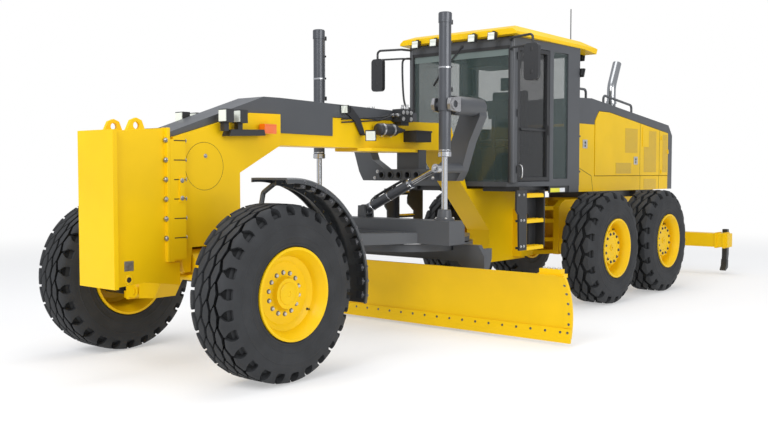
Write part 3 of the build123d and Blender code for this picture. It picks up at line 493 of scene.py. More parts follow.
front_tread = tyre_mesh("front_tread", 26, lines=(-0.44, -0.15, 0.15, 0.44), wave=0.045, slant=0.30,
    groove=0.058, pocket=0.56)
rear_tread = tyre_mesh("rear_tread", 20, lines=(-0.36, 0.0, 0.36), wave=0.07, slant=0.42, groove=0.078,
    pocket=0.46)
for row in WHEEL_ROWS:
    for name, side in SIDES:
        low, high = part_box(f"tyre_{row}_{name}")
        piece = new_object(f"tread_{row}_{name}", front_tread if row == "front" else rear_tread)
        piece.location = (low + high) / 2
        piece.rotation_euler = (0, 0, 0 if side > 0 else pi)
        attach(piece, f"wheel_{row}_{name}")
        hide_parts(f"tyre_{row}_{name}")

# ---- wheel bolts, hubs and valves ----

# (bolts, radius of their circle, how far their face stands outboard, radius of a head, metal)
FRONT_BOLTS = (14, 0.158, 0.100, 0.0135, STEEL)
REAR_BOLTS = (12, 0.172, 0.148, 0.0140, DARK_BOLT)
REAR_DISC = 0.045  # how far the disc of a rear wheel stands outboard of its middle
FRONT_HUB = 0.047  # how far the cap of a front hub stands out of the face
VALVE_R = 0.270
for row, (count, ring, dish, size, look) in zip(WHEEL_ROWS, (FRONT_BOLTS, REAR_BOLTS, REAR_BOLTS)):
    for name, side in SIDES:
        body = f"wheel_{row}_{name}"
        low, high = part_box(f"rim_{row}_{name}")
        out = Y * side
        face = (low + high) / 2 + out * dish
        bolts, washers = bmesh.new(), bmesh.new()
        for n in range(count):
            a = 2 * pi * (n + 0.4) / count
            place = face + Vector((ring * cos(a), 0, ring * sin(a)))
            bolt(bolts, place + out * 0.002, out, size, washer=False)
            turn(washers, place, out, [(-0.002, size * 1.4), (0.002, size * 1.35), (0.0025, size),
                (0.0025, 0)], 18)
        make(f"wheel_washers_{row}_{name}", washers, DARK_BOLT, body)
        make(f"wheel_bolts_{row}_{name}", bolts, look, body)
        if row == "front":
            cap = turn(bmesh.new(), face + out * FRONT_HUB, out, [(0, 0.086), (0.005, 0.086),
                (0.009, 0.080), (0.010, 0.022), (0.006, 0.020), (0.006, 0)], 40)
        else:
            cap = turn(bmesh.new(), face, out, [(REAR_DISC - 0.002 - dish, 0.214), (-0.012, 0.206),
                (-0.004, 0.204), (0, 0.199), (0, 0.128), (-0.006, 0.122), (-0.006, 0.040), (0.004, 0.036),
                (0.004, 0.016), (-0.020, 0.014), (-0.020, 0)], 48)
        make(f"hub_cap_{row}_{name}", cap, YELLOW, body)
        a = radians(212 if row == "front" else 128)
        lift = side * (0.010 if row == "front" else REAR_DISC + 0.020 - dish)
        place = face + Vector((VALVE_R * cos(a), lift, VALVE_R * sin(a)))
        make(f"valve_{row}_{name}", turn(bmesh.new(), place, out,
            [(0, 0.010), (0.012, 0.010), (0.014, 0.006), (0.034, 0.006), (0.036, 0)], 12), BLACK, body)

# ---- front fenders: brackets under the outer edge, and bolts through the lip ----

FRONT_AXLE = Vector((4.4, 0, 0.69))
for name, side in SIDES:
    brackets, lip_bolts = bmesh.new(), bmesh.new()
    for n in range(12):
        a = radians(98 + 8.1 * n)
        out, tangent = Vector((cos(a), 0, sin(a))), Vector((-sin(a), 0, cos(a)))
        foot, head = FRONT_AXLE + out * 0.788, FRONT_AXLE + out * 0.848
        corners = (foot - tangent * 0.030, foot + tangent * 0.030, head + tangent * 0.020,
            head - tangent * 0.020)
        plate(brackets, side, 1.175, 1.236, [(p.x, p.z) for p in corners])
        for radius, y in ((0.833, 1.2535), (0.800, 1.236)):
            bolt(lip_bolts, FRONT_AXLE + out * radius + Y * side * y, Y * side, 0.011)
    make(f"fender_brackets_{name}", brackets, BLACK, f"knuckle_{name}", bevel=0.004)
    make(f"fender_bolts_{name}", lip_bolts, DARK_BOLT, f"knuckle_{name}")

# ---- push block and bolster ----

FLANGE_BOLT_Z = [1.071 + 0.154 * n for n in range(6)]
FLANGE_Y = 0.218
bars, heads, shanks, welds = (bmesh.new() for _ in range(4))
plates, rivets, eyes, eye_hole_shade = (bmesh.new() for _ in range(4))
for side in (1, -1):
    out = Y * side
    boxes(bars, side, (4.602, 4.7195, 0.2005, 0.234, 0.90, 1.872),
        (4.625, 4.668, 0.2335, 0.246, 1.355, 1.555))
    for z in FLANGE_BOLT_Z:
        bolt(heads, (4.781, side * FLANGE_Y, z), X, 0.017)
        bolt(heads, (4.601, side * FLANGE_Y, z), -X, 0.016)
        boxes(shanks, side, (4.606, 4.716, 0.2335, 0.2352, z - 0.004, z + 0.004))
    for z in (1.385, 1.525):
        bolt(heads, (4.6465, side * 0.246, z), out, 0.014)
    bolt(heads, (4.375, side * 0.2005, 1.724), out, 0.013)
    turn(welds, (4.385, side * 0.2, 1.64), out,
        [(-0.001, 0.1975), (0.0012, 0.1965), (0.0012, 0.1945), (-0.001, 0.1935)], 72)
    boxes(plates, side, (5.078, 5.160, 0.2002, 0.2025, 0.840, 0.915))
    for x, z in ((5.086, 0.848), (5.152, 0.848), (5.086, 0.907), (5.152, 0.907)):
        turn(rivets, (x, side * 0.2025, z), out, [(0, 0.003), (0.001, 0.0025), (0.0015, 0)], 10)
    tie = (5.12, side * 0.2, 0.772)
    turn(eyes, tie, out, [(0, 0.040), (0.006, 0.039), (0.009, 0.034), (0.009, 0.024), (0.002, 0.021)], 32)
    # A black disc fills each eye's hole: painted shade inside the hole.
    turn(eye_hole_shade, tie, out, [(0, 0.0215), (0.0022, 0.021), (0.0022, 0)])
make("flange_bars", bars, YELLOW, bevel=0.004)
make("flange_bolts", heads, CAST)
make("flange_slots", shanks, SEAM)
make("bolster_weld", welds, SEAM)
make("tie_eyes", eyes, YELLOW)
make("tie_eye_hole_shade", eye_hole_shade, BLACK)
make("bare_plates", plates, CAST, bevel=0.0008)
make("plate_rivets", rivets, STEEL)

# ---- lamps ----


def lamp(name, centre, aim, size):
    """A square lamp: a finned black housing behind a fluted lens, facing along aim."""
    aim, side, up = frame_of(aim)
    place = Matrix.Translation(Vector(centre)) @ Matrix((side, up, aim)).transposed().to_4x4()
    half = size / 2
    inner, pane = half * 0.82, half * 0.86
    housing = boxes(bmesh.new(), 1, (-half, half, -half, half, -0.018, 0.004),
        (-inner, inner, -inner, inner, -0.045, -0.016))
    for n in range(5):
        y = inner * (-0.8 + 0.4 * n)
        boxes(housing, 1, (-inner * 0.9, inner * 0.9, y - 0.002, y + 0.002, -0.062, -0.043))
    front = boxes(bmesh.new(), 1, (-pane, pane, -pane, pane, 0.003, 0.009))
    for part, shape, material in (("housing", housing, PLASTIC), ("lens", front, LENS)):
        bmesh.ops.transform(shape, matrix=place, verts=shape.verts)
        make(f"{name}_{part}", shape, material, bevel=0.002)


for name, side in SIDES:
    for place, x in (("front", 4.263), ("rear", 4.113)):
        box_piece(f"beam_lamp_{place}_{name}", LENS, 0.003, side,
            (x - 0.001, x + 0.006, 0.243, 0.332, 2.009, 2.102))
    for place, y in (("inner", 0.268), ("outer", 0.532)):
        make(f"roof_lamp_{place}_{name}", plate(bmesh.new(), side, y - 0.041, y + 0.041,
            [(0.659, 3.051), (0.652, 3.129), (0.657, 3.129), (0.6645, 3.051)]), LENS, bevel=0.002)
    box_piece(f"marker_lamp_{name}", ORANGE, 0.008, side, (3.665, 3.803, 0.225, 0.292, 1.924, 2.006))
    lamp(f"beam_side_lamp_{name}", (2.70, side * 0.215, 2.192), (1, 0.12 * side, -0.05), 0.075)
    lamp(f"blade_lamp_{name}", (2.46, side * 0.335, 1.945), (0.8, 0.55 * side, -0.25), 0.10)
    lamp(f"cab_rear_lamp_{name}", (-0.955, side * 0.79, 2.80), (-1, 0.3 * side, -0.25), 0.10)
    lamp(f"roof_rear_lamp_{name}", (-1.315, side * 0.60, 3.035), (-1, 0, -0.2), 0.085)
    box_piece(f"tail_lamp_{name}", RED, 0.004, side, (-4.342, -4.329, 0.488, 0.542, 1.98, 2.10),
        body="rear_body")
    arms = plate(bmesh.new(), side, 0.1705, 0.186,
        [(2.665, 2.225), (2.665, 2.170), (2.52, 2.085), (2.44, 1.965), (2.37, 1.965), (2.44, 2.11),
        (2.56, 2.215)])
    boxes(arms, side, (2.385, 2.425, 0.161, 0.31, 1.952, 1.966))
    make(f"lamp_arm_{name}", arms, BLACK, bevel=0.003)
    stubs = plate(bmesh.new(), side, 0.775, 0.79,
        [(-0.905, 2.84), (-0.905, 2.77), (-0.945, 2.78), (-0.945, 2.82)])
    boxes(stubs, side, (-1.29, -1.25, 0.585, 0.615, 3.03, 3.09))
    make(f"lamp_stub_{name}", stubs, BLACK, bevel=0.002)

# ---- hydraulics on the beam ----

TANK_Y, TANK_Z = 0.25, 2.017
for name, side in SIDES:
    make(f"accumulator_{name}", turn(bmesh.new(), (1.835, side * TANK_Y, TANK_Z), X,
        [(0, 0), (0, 0.016), (0.05, 0.016), (0.052, 0.026), (0.09, 0.026), (0.095, 0.034), (0.13, 0.036),
        (0.145, 0.054), (0.160, 0.060), (0.405, 0.060), (0.420, 0.054), (0.428, 0.030), (0.430, 0)], 36),
        BLACK)
    box_piece(f"valve_block_{name}", BLACK, 0.006, side, (1.745, 1.930, 0.1712, 0.292, 2.105, 2.235),
        (1.775, 1.900, 0.1712, 0.262, 2.070, 2.106))
    plugs = bmesh.new()
    for x, z in ((1.775, 2.20), (1.838, 2.20), (1.900, 2.20), (1.775, 2.135), (1.900, 2.135)):
        bolt(plugs, (x, side * 0.292, z), Y * side, 0.016)
    for y in (0.20, 0.26):
        turn(plugs, (1.930, side * y, 2.17), X,
            [(0, 0.018), (0.03, 0.018), (0.034, 0.014), (0.055, 0.014), (0.057, 0)], 12)
        turn(plugs, (1.80, side * y, 2.235), Z,
            [(0, 0.020), (0.022, 0.020), (0.026, 0.015), (0.050, 0.015), (0.052, 0)], 12)
    make(f"valve_plugs_{name}", plugs, STEEL)
    box_piece(f"hose_box_{name}", PLASTIC, 0.006, side, (1.485, 1.735, 0.1612, 0.335, 1.905, 2.005),
        (1.478, 1.742, 0.1612, 0.343, 2.005, 2.022))
    straps = bmesh.new()
    for x in (2.033, 2.183):
        turn(straps, (x, side * TANK_Y, TANK_Z), X,
            [(0, 0.0595), (0, 0.064), (0.024, 0.064), (0.024, 0.0595)], 36)
        boxes(straps, side, (x, x + 0.024, 0.161, TANK_Y, 1.945, 1.960))
    make(f"tank_straps_{name}", straps, STEEL)
    for n, y in enumerate((0.20, 0.26)):
        drop = 0.03 * n
        line = ((1.985, y, 2.17), (2.02, y, 2.17), (2.05, y + 0.02, 2.165), (2.10, 0.175, 2.15 - drop),
            (2.16, 0.173, 2.14 - drop), (2.70, 0.1735, 2.10 - drop))
        tube(f"beam_pipe_{n}_{name}", [(x, side * y, z) for x, y, z in line], 0.007, BLACK)

# ---- blade lift cylinders, their arms and the lock bar ----

for name, side in SIDES:
    barrel = f"lift_barrel_{name}"
    low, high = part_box(barrel)
    x, y = (low.x + high.x) / 2, (low.y + high.y) / 2
    bands = bmesh.new()
    for z, height, radius in ((2.600, 0.016, 0.0625), (1.742, 0.050, 0.066), (1.80, 0.010, 0.0625)):
        turn(bands, (x, y, z), Z, band(height, 0.0605, radius), 40)
    make(f"lift_bands_{name}", bands, CHROME, barrel)
    ports = bmesh.new()
    for z, reach, half, rise in ((3.055, 0.100, 0.022, 0.022), (2.40, 0.100, 0.022, 0.022),
            (2.62, 0.098, 0.016, 0.010), (2.86, 0.098, 0.016, 0.010)):
        boxes(ports, 1, (x - reach, x - 0.056, y - half, y + half, z - rise, z + rise))
    make(f"lift_ports_{name}", ports, BLACK, barrel, bevel=0.003)
    tube(f"lift_pipe_{name}", [(x - 0.084, y, z) for z in (2.41, 2.70, 3.04)], 0.010, BARREL, barrel)
    make(f"lift_cap_{name}", turn(bmesh.new(), (x, y, 3.128), Z,
        [(0, 0.064), (0.010, 0.060), (0.014, 0.046), (0.014, 0.024), (0.018, 0.022), (0.022, 0)], 40),
        BARREL, barrel)
    make(f"trunnion_sleeve_{name}", turn(bmesh.new(), (1.475, side * 0.85, 2.25), X,
        [(0, 0.090), (0.002, 0.096), (0.315, 0.096), (0.322, 0.094), (0.324, 0.090)], 48), GREY)
    cap_bolts = bmesh.new()
    for n in range(4):
        a = pi / 4 + n * pi / 2
        bolt(cap_bolts, (1.95 + 0.083 * cos(a), y + 0.083 * sin(a), 1.138), Z, 0.012)
    make(f"ball_cap_bolts_{name}", cap_bolts, STEEL, "drawbar")
    make(f"ball_cap_{name}", turn(bmesh.new(), (1.95, y, 1.1195), Z,
        [(0, 0.100), (0.018, 0.100), (0.022, 0.072), (0.060, 0.069), (0.098, 0.062), (0.100, 0.058)], 40),
        GREY, "drawbar", sharp=30)

bushes, arm_bolts = bmesh.new(), bmesh.new()
for y in (-0.30, -0.18, -0.06, 0.06, 0.18, 0.30):
    turn(bushes, (1.5395, y, 1.562), X, [(0, 0.0445), (0.009, 0.0435), (0.011, 0.041), (0.011, 0.0325),
        (0, 0.0305)], 32)
for side in (1, -1):
    for y, z in ((0.36, 1.60), (0.40, 1.53)):
        bolt(arm_bolts, (1.5405, side * y, z), X, 0.014)
make("lock_bushes", bushes, GREY)
make("lock_bar_bolts", arm_bolts, STEEL)

# The cylinder that swings the drawbar: bands, clamps and two pipes along the top.
root, eye = Vector((1.84, -0.27, 1.19)), Vector((1.84, 0.675, 1.63))
along = (eye - root).normalized()
above = X.cross(along).normalized()
above = above if above.z > 0 else -above
bands, clips = bmesh.new(), bmesh.new()
for start, length, radius in ((0.36, 0.014, 0.0525), (0.655, 0.034, 0.0545), (0.10, 0.020, 0.0535)):
    turn(bands, root + along * start, along, band(length, 0.0505, radius), 36)
for start in (0.20, 0.46, 0.60):
    for x in (-0.018, 0.018):
        turn(clips, root + along * start + above * 0.048 + X * x, above,
            [(0, 0.011), (0.030, 0.011), (0.034, 0)], 12)
make("swing_bands", bands, CHROME, "swing_barrel")
make("swing_clips", clips, BLACK, "swing_barrel")
PIPE = (0.12, 0.052), (0.16, 0.070), (0.30, 0.074), (0.50, 0.074), (0.60, 0.072), (0.64, 0.054)
for label, x in (("a", -0.018), ("b", 0.018)):
    line = [root + along * reach + above * rise + X * x for reach, rise in PIPE]
    tube(f"swing_pipe_{label}", line, 0.008, BLACK, "swing_barrel")

# ---- moldboard ----

MOLD_X, MOLD_Z, MOLD_R = 2.332, 0.254, 0.596  # the arc of its front face
BLADE_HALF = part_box("moldboard")[1].y
EDGE_Z, EDGE_PROUD, PLATE_PROUD = 0.125, 0.0165, 0.006
ROW_PITCH, END_Y = 0.1562, 2.105


def on_blade(y, z, proud):
    """A point on the moldboard's front face and the direction out of it."""
    out = Vector((sqrt(MOLD_R ** 2 - (z - MOLD_Z) ** 2), 0, MOLD_Z - z)).normalized()
    return Vector((MOLD_X, y, MOLD_Z)) - out * MOLD_R + X * proud, out


blade_bolts, end_plates, blocks, block_bolts = (bmesh.new() for _ in range(4))
places = [((n - 13) * ROW_PITCH, EDGE_Z, EDGE_PROUD) for n in range(27)]
for side in (1, -1):
    places += [(side * END_Y, EDGE_Z, EDGE_PROUD)]
    places += [(side * END_Y, z, PLATE_PROUD) for z in (0.200, 0.297, 0.391, 0.484, 0.565)]
for y, z, proud in places:
    place, out = on_blade(y, z, proud)
    turn(blade_bolts, place, out, [(-0.004, 0.0125), (0.002, 0.0125), (0.004, 0.010), (0.004, 0)], 16)
arc = [on_blade(0, 0.165 + 0.490 * n / 8, 0)[0] for n in range(9)]
outline = [(p.x + 0.006, p.z) for p in arc] + [(p.x - 0.004, p.z) for p in reversed(arc)]
for side in (1, -1):
    plate(end_plates, side, 2.055, BLADE_HALF - 0.001, outline)
    boxes(blocks, side, (1.795, 1.868, 1.865, 2.085, 0.632, 0.712),
        (1.772, 1.864, 1.845, 2.105, 0.634, 0.668))
    for y in (1.895, 1.945, 1.998, 2.052):
        bolt(block_bolts, (1.832, side * y, 0.712), Z, 0.015)
make("blade_bolts", blade_bolts, DARK_BOLT, "blade")
make("blade_end_plates", end_plates, YELLOW, "blade", bevel=0.001)
make("blade_end_blocks", blocks, YELLOW, "blade", bevel=0.004)
make("blade_block_bolts", block_bolts, STEEL, "blade")

# ---- ladder ----

treads, screws = bmesh.new(), bmesh.new()
for side in (1, -1):
    for z in (0.742, 1.040, 1.320):
        boxes(treads, side, (0.170, 0.533, 0.802, 0.924, z + 0.0255, z + 0.031),
            (0.170, 0.533, 0.9215, 0.9275, z - 0.008, z + 0.031))
        for n in range(15):
            x = 0.182 + n * 0.0245
            boxes(treads, side, *((x, x + 0.012, y, y + 0.011, z + 0.031, z + 0.038)
                for y in (0.815, 0.862, 0.909)))
    for x, z in ((0.595, 0.785), (0.655, 0.785), (0.595, 1.068), (0.655, 1.068), (0.60, 1.345),
            (0.70, 1.345)):
        bolt(screws, (x, side * 0.9302, z), Y * side, 0.011)
make("ladder_treads", treads, YELLOW, sharp=30)
make("ladder_bolts", screws, STEEL)

# ---- cab ----


def cab_side(x):
    """How far the cab's side stands out at x, on its slanted front part."""
    return 0.785 - (x + 0.230) * (0.055 / 0.730)


PANE_BACK, PANE_FRONT = -0.152, 0.378
LATCH_Y = cab_side(-0.18)
HANDLE = ((0.398, -0.004, 1.675), (0.398, 0.020, 1.675), (0.400, 0.045, 1.660), (0.402, 0.052, 1.600),
    (0.400, 0.045, 1.530), (0.398, 0.020, 1.515), (0.398, -0.004, 1.515))
for name, side in SIDES:
    door = f"cab_door_{name}"
    for place, z0, z1 in (("low", 1.536, 2.058), ("high", 2.087, 2.944)):
        corners = ((PANE_BACK, 0.030), (PANE_FRONT, 0.030), (PANE_FRONT, 0.036), (PANE_BACK, 0.036))
        make(f"door_pane_{place}_{name}", slab(bmesh.new(),
            [(x, side * (cab_side(x) - depth), 0) for x, depth in corners], (0, 0, z0), (0, 0, z1)),
            DARK_GLASS, door)
    tube(f"door_handle_{name}", [(x, side * (cab_side(0.398) + reach), z) for x, reach, z in HANDLE], 0.008,
        STEEL, door)
    box_piece(f"door_latch_{name}", PLASTIC, 0.004, side,
        (-0.196, -0.158, LATCH_Y - 0.002, LATCH_Y + 0.012, 2.02, 2.13), body=door)
    hinges, clamps = bmesh.new(), bmesh.new()
    for z in (1.62, 2.25, 2.88):
        turn(hinges, (0.430, side * (cab_side(0.43) + 0.006), z - 0.04), Z, rod(0.08, 0.012), 16)
    make(f"door_hinges_{name}", hinges, BLACK)
    box_piece(f"floor_skirt_{name}", BLACK, 0.004, side, (-0.600, 0.455, 0.300, 0.700, 1.375, 1.4305))
    box_piece(f"cab_sill_{name}", BLACK, 0.003, side, (-0.665, -0.200, 0.772, 0.786, 1.350, 1.4305))
    for place, x0, x1, strip in (("yellow", -0.446, -0.228, STRIP), ("white", -0.571, -0.4465, WHITE_STRIP)):
        box_piece(f"reflector_{place}_{name}", strip, 0.0005, side, (x0, x1, 0.7855, 0.7875, 1.357, 1.405))
    box_piece(f"mirror_{name}", MIRROR, 0.002, side, (0.6565, 0.6625, 0.998, 1.147, 2.583, 2.947))
    for z in (2.66, 2.90):
        turn(clamps, (0.69, side * 1.08, z - 0.02), Z, rod(0.04, 0.030), 20)
    make(f"mirror_clamps_{name}", clamps, PLASTIC)

# Windscreen: a wiper that hangs from the top, seals, a tinted band and a grab bar at the corner.
pivot, tip, heel, toe = (Vector((0.506, y, z)) for y, z in ((0.035, 3.03), (-0.205, 2.800), (-0.235, 2.795),
    (-0.374, 2.611)))
wiper = turn(bmesh.new(), pivot - X * 0.015, X, [(0, 0.020), (0.020, 0.018), (0.022, 0)], 16)
for start, end, half in ((pivot, tip, 0.008), (tip, heel, 0.006)):
    across = (end - start).normalized().cross(X) * half
    slab(wiper, [start + across, end + across * 0.7, end - across * 0.7, start - across], (0, 0, 0),
        (0.006, 0, 0))
direction = (toe - heel).normalized()
across = direction.cross(X) * 0.007
blade_top = heel - direction * 0.10
slab(wiper, [blade_top + across, toe + across, toe - across, blade_top - across], (-0.020, 0, 0),
    (0.002, 0, 0))
make("wiper", wiper, PLASTIC, bevel=0.001)
seals = bmesh.new()
PANE_Y, PANE_LOW, PANE_HIGH, SEAL = 0.668, 1.485, 2.965, 0.030
SEAL_BACK, SEAL_FRONT = 0.4965, 0.5065
for side in (1, -1):
    boxes(seals, side, (SEAL_BACK, SEAL_FRONT, PANE_Y - 0.004, PANE_Y + SEAL, PANE_LOW - 0.004,
        PANE_HIGH + SEAL))
boxes(seals, 1, (SEAL_BACK, SEAL_FRONT, -PANE_Y, PANE_Y, PANE_HIGH - 0.004, PANE_HIGH + SEAL))
make("windscreen_seals", seals, PLASTIC, bevel=0.002)
box_piece("visor_band", VISOR, 0, 1, (0.4865, 0.4905, -0.664, 0.664, 2.888, 2.963))
tube("corner_grab", [(0.492, -0.705, 2.955), (0.530, -0.745, 2.960), (0.552, -0.800, 2.945),
    (0.552, -0.806, 2.860), (0.552, -0.800, 2.640), (0.552, -0.780, 2.430), (0.530, -0.750, 2.360),
    (0.492, -0.712, 2.355)], 0.012, BLACK)

# Seat: padded forms with a seam, on a pedestal with arm rests.


def cushion(name, low, high, crown):
    """A crowned pad that fills the box from low to high; its sides draw in between the corners."""
    low, high = Vector(low), Vector(high)
    middle, half = (low + high) / 2, (high - low) / 2
    shape = bmesh.new()
    bmesh.ops.create_cube(shape, size=2)
    bmesh.ops.subdivide_edges(shape, edges=shape.edges[:], cuts=9, use_grid_fill=True)
    thin = min(range(3), key=lambda k: half[k])
    wide = [k for k in range(3) if k != thin]
    for v in shape.verts:
        a, b = v.co[wide[0]], v.co[wide[1]]
        dome = (1 - a ** 4) * (1 - b ** 4)
        v.co[thin] *= 1 - crown + crown * dome
        v.co[wide[0]] *= 1 - 0.03 * (1 - b * b) * abs(a) - 0.05 * abs(v.co[thin]) ** 3
        v.co[wide[1]] *= 1 - 0.03 * (1 - a * a) * abs(b) - 0.05 * abs(v.co[thin]) ** 3
        if abs(abs(a) - 0.6) < 0.01:
            v.co[thin] *= 0.90
        v.co = middle + Vector([v.co[k] * half[k] for k in range(3)])
    piece = new_object(name, mesh_of(name, shape, 180, CLOTH))
    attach(piece, "front_body")
    smooth = piece.modifiers.new("soft", "SUBSURF")
    smooth.levels = smooth.render_levels = 1
    return piece


seat = cushion("seat_cushion", (-0.555, -0.258, 1.884), (-0.062, 0.258, 1.992), 0.42)
back = cushion("seat_back", (-0.655, -0.245, 1.985), (-0.535, 0.245, 2.600), 0.35)
cushion("seat_headrest", (-0.640, -0.130, 2.610), (-0.550, 0.130, 2.770), 0.35)
post = boxes(bmesh.new(), 1, (-0.480, -0.160, -0.160, 0.160, 1.4805, 1.800),
    (-0.545, -0.080, -0.240, 0.240, 1.800, 1.884))
levers = bmesh.new()
for side in (1, -1):
    boxes(post, side, (-0.560, -0.120, 0.285, 0.365, 2.090, 2.130),
        (-0.560, -0.480, 0.300, 0.340, 1.820, 2.092), (-0.540, -0.500, 0.235, 0.310, 1.820, 1.860))
    for n in range(4):
        turn(levers, (-0.150 - 0.05 * n, side * 0.325, 2.130), (0.15, 0, 1),
            [(0, 0.006), (0.06, 0.006), (0.065, 0.012), (0.10, 0.014), (0.11, 0.008), (0.112, 0)], 12)
pedestal = make("seat_pedestal", post, PLASTIC, bevel=0.012)
make("levers", levers, BLACK)

STEERING_FOOT, STEERING_AXIS = Vector((0.315, 0, 2.20)), (-0.45, 0, 1)
column = plate(bmesh.new(), 1, -0.110, 0.110, [(0.180, 1.4805), (0.300, 1.4805), (0.400, 2.120),
    (0.345, 2.260), (0.250, 2.240)])
turn(column, STEERING_FOOT, STEERING_AXIS, [(0, 0.040), (0.02, 0.036), (0.20, 0.026), (0.21, 0)], 20)
console = make("steering_console", column, PLASTIC, bevel=0.006)
WHEEL_R, WHEEL_TUBE = 0.195, 0.014
axis, right, ahead = frame_of(STEERING_AXIS)
hub = STEERING_FOOT + axis * 0.215
wheel = turn(bmesh.new(), hub, axis, [(WHEEL_TUBE * sin(pi * k / 5), WHEEL_R + WHEEL_TUBE * cos(pi * k / 5))
    for k in range(11)], 40)
bmesh.ops.remove_doubles(wheel, verts=wheel.verts, dist=1e-5)
turn(wheel, hub - axis * 0.012, axis, [(0, 0), (0, 0.045), (0.020, 0.042), (0.026, 0.030), (0.028, 0)])
for a in (pi / 2, pi * 7 / 6, pi * 11 / 6):
    outward = right * cos(a) + ahead * sin(a)
    across, rim = axis.cross(outward) * 0.014, hub + outward * WHEEL_R
    slab(wheel, [hub + across, rim + across * 0.8, rim - across * 0.8, hub - across], -axis * 0.004,
        axis * 0.004)
make("steering_wheel", wheel, PLASTIC)
box_piece("overhead_console", PLASTIC, 0.02, 1, (-0.30, 0.16, -0.12, 0.34, 2.83, 3.028),
    (0.30, 0.43, -0.62, 0.62, 2.97, 3.028))
screen = plate(bmesh.new(), 1, 0.30, 0.56, [(0.345, 2.20), (0.405, 2.40), (0.385, 2.405), (0.325, 2.205)])
boxes(screen, 1, (0.345, 0.375, 0.36, 0.40, 1.49, 2.24))
make("side_display", screen, PLASTIC, bevel=0.008)
for piece in (seat, back, pedestal, console):
    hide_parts("cab_interior")

# ---- hood ----

SEAM_HALF = 0.003


def seam(shape, side, y, points):
    """A dark gap drawn as a thin strip on a side face, through (x, z) points."""
    for start, end in zip(points, points[1:]):
        a, b = Vector((start[0], 0, start[1])), Vector((end[0], 0, end[1]))
        across = (b - a).normalized().cross(Y) * SEAM_HALF
        slab(shape, [a + across, b + across, b - across, a - across], (0, side * (y - 0.001), 0),
            (0, side * (y + 0.0012), 0))


DOOR_Y, BELT_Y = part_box("hood_door_left")[1].y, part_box("hood_belt")[1].y
DOOR_SEAMS = (((-3.170, 1.548), (-3.170, 2.286)), ((-3.845, 1.548), (-3.845, 2.212)))
BELT_SEAMS = (((-1.342, 1.650), (-1.694, 1.545), (-1.745, 1.345)), ((-3.195, 1.342), (-3.195, 1.538)),
    ((-3.845, 1.342), (-3.845, 1.538)))
DOOR_PATCHES = ((-3.085, -2.681, 1.862, 2.205), (-2.885, -2.398, 1.572, 1.722),
    (-3.728, -3.300, 1.592, 2.190), (-4.128, -3.962, 1.592, 2.150))
BELT_PATCHES = ((-3.745, -3.315, 1.350, 1.496),)
for name, side in SIDES:
    out, door, belt = Y * side, f"hood_door_{name}", "rear_body"
    for label, body, y, lines, patches in (("door", door, DOOR_Y, DOOR_SEAMS, DOOR_PATCHES),
            ("belt", belt, BELT_Y, BELT_SEAMS, BELT_PATCHES)):
        gaps = bmesh.new()
        for points in lines:
            seam(gaps, side, y, points)
        make(f"{label}_gaps_{name}", gaps, SEAM, body)
        box_piece(f"{label}_mesh_{name}", MESH_YELLOW, 0, side,
            *((x0, x1, y - 0.001, y + 0.0015, z0, z1) for x0, x1, z0, z1 in patches), body=body)
    for label, body, x, y, z in (("front", belt, -1.512, BELT_Y, 1.955),
            ("door", door, -3.025, DOOR_Y, 1.756)):
        box_piece(f"latch_plate_{label}_{name}", STEEL, 0.003, side,
            (x - 0.062, x + 0.062, y - 0.001, y + 0.005, z - 0.055, z + 0.055), body=body)
        slot = turn(bmesh.new(), (x, side * (y + 0.0045), z + 0.018), out,
            [(0, 0.017), (0.004, 0.015), (0.004, 0)], 20)
        boxes(slot, side, (x - 0.011, x + 0.011, y + 0.0045, y + 0.0075, z - 0.038, z - 0.008))
        make(f"latch_{label}_{name}", slot, BLACK, body)
    box_piece(f"pressed_panel_{name}", YELLOW, 0.006, side,
        (-3.458, -3.250, DOOR_Y - 0.001, DOOR_Y + 0.007, 1.955, 2.240), body=door)
    pins, studs = bmesh.new(), bmesh.new()
    for x, z in ((-3.905, 1.60), (-3.905, 2.10), (-4.155, 1.90)):
        turn(pins, (x, side * (DOOR_Y + 0.004), z - 0.03), Z, rod(0.06, 0.009), 14)
    for z in (1.60, 2.05):
        bolt(studs, (-1.375, side * BELT_Y, z), out, 0.010)
    make(f"door_hinge_pins_{name}", pins, YELLOW, door)
    make(f"panel_studs_{name}", studs, DARK_BOLT, belt)

# Hood top: panel seams, and a perforated air outlet that follows its slope.


def hood_top(x):
    """Height of the hood's sloping top at x."""
    return 2.553 + (x + 1.70) * (0.253 / 2.49)


outlet, top_gaps = bmesh.new(), bmesh.new()
for shape, spans, half, proud in ((outlet, ((-3.95, -3.20),), 0.36, 0.0015),
        (top_gaps, ((-2.056, -2.050), (-3.126, -3.120), (-4.036, -4.030)), 0.505, 0.001)):
    for x0, x1 in spans:
        plate(shape, 1, -half, half, [(x0, hood_top(x0) - 0.001), (x1, hood_top(x1) - 0.001),
            (x1, hood_top(x1) + proud), (x0, hood_top(x0) + proud)])
make("hood_air_outlet", outlet, MESH_GREY, "rear_body")
make("hood_top_gaps", top_gaps, BLACK, "rear_body")

# Rear grille: a perforated sheet behind flat slats.
grille_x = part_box("rear_grille")[0].x
box_piece("grille_mesh", MESH_GREY, 0, 1, (grille_x - 0.001, grille_x + 0.003, -0.415, 0.415, 1.46, 2.04),
    body="rear_grille")
slats = bmesh.new()
for n in range(11):
    z = 1.475 + 0.053 * n
    plate(slats, 1, -0.40, 0.40, [(grille_x - 0.007, z), (grille_x, z + 0.018), (grille_x, z + 0.006),
        (grille_x - 0.007, z - 0.006)])
make("grille_slats", slats, GREY, "rear_grille")

# ---- ripper ----

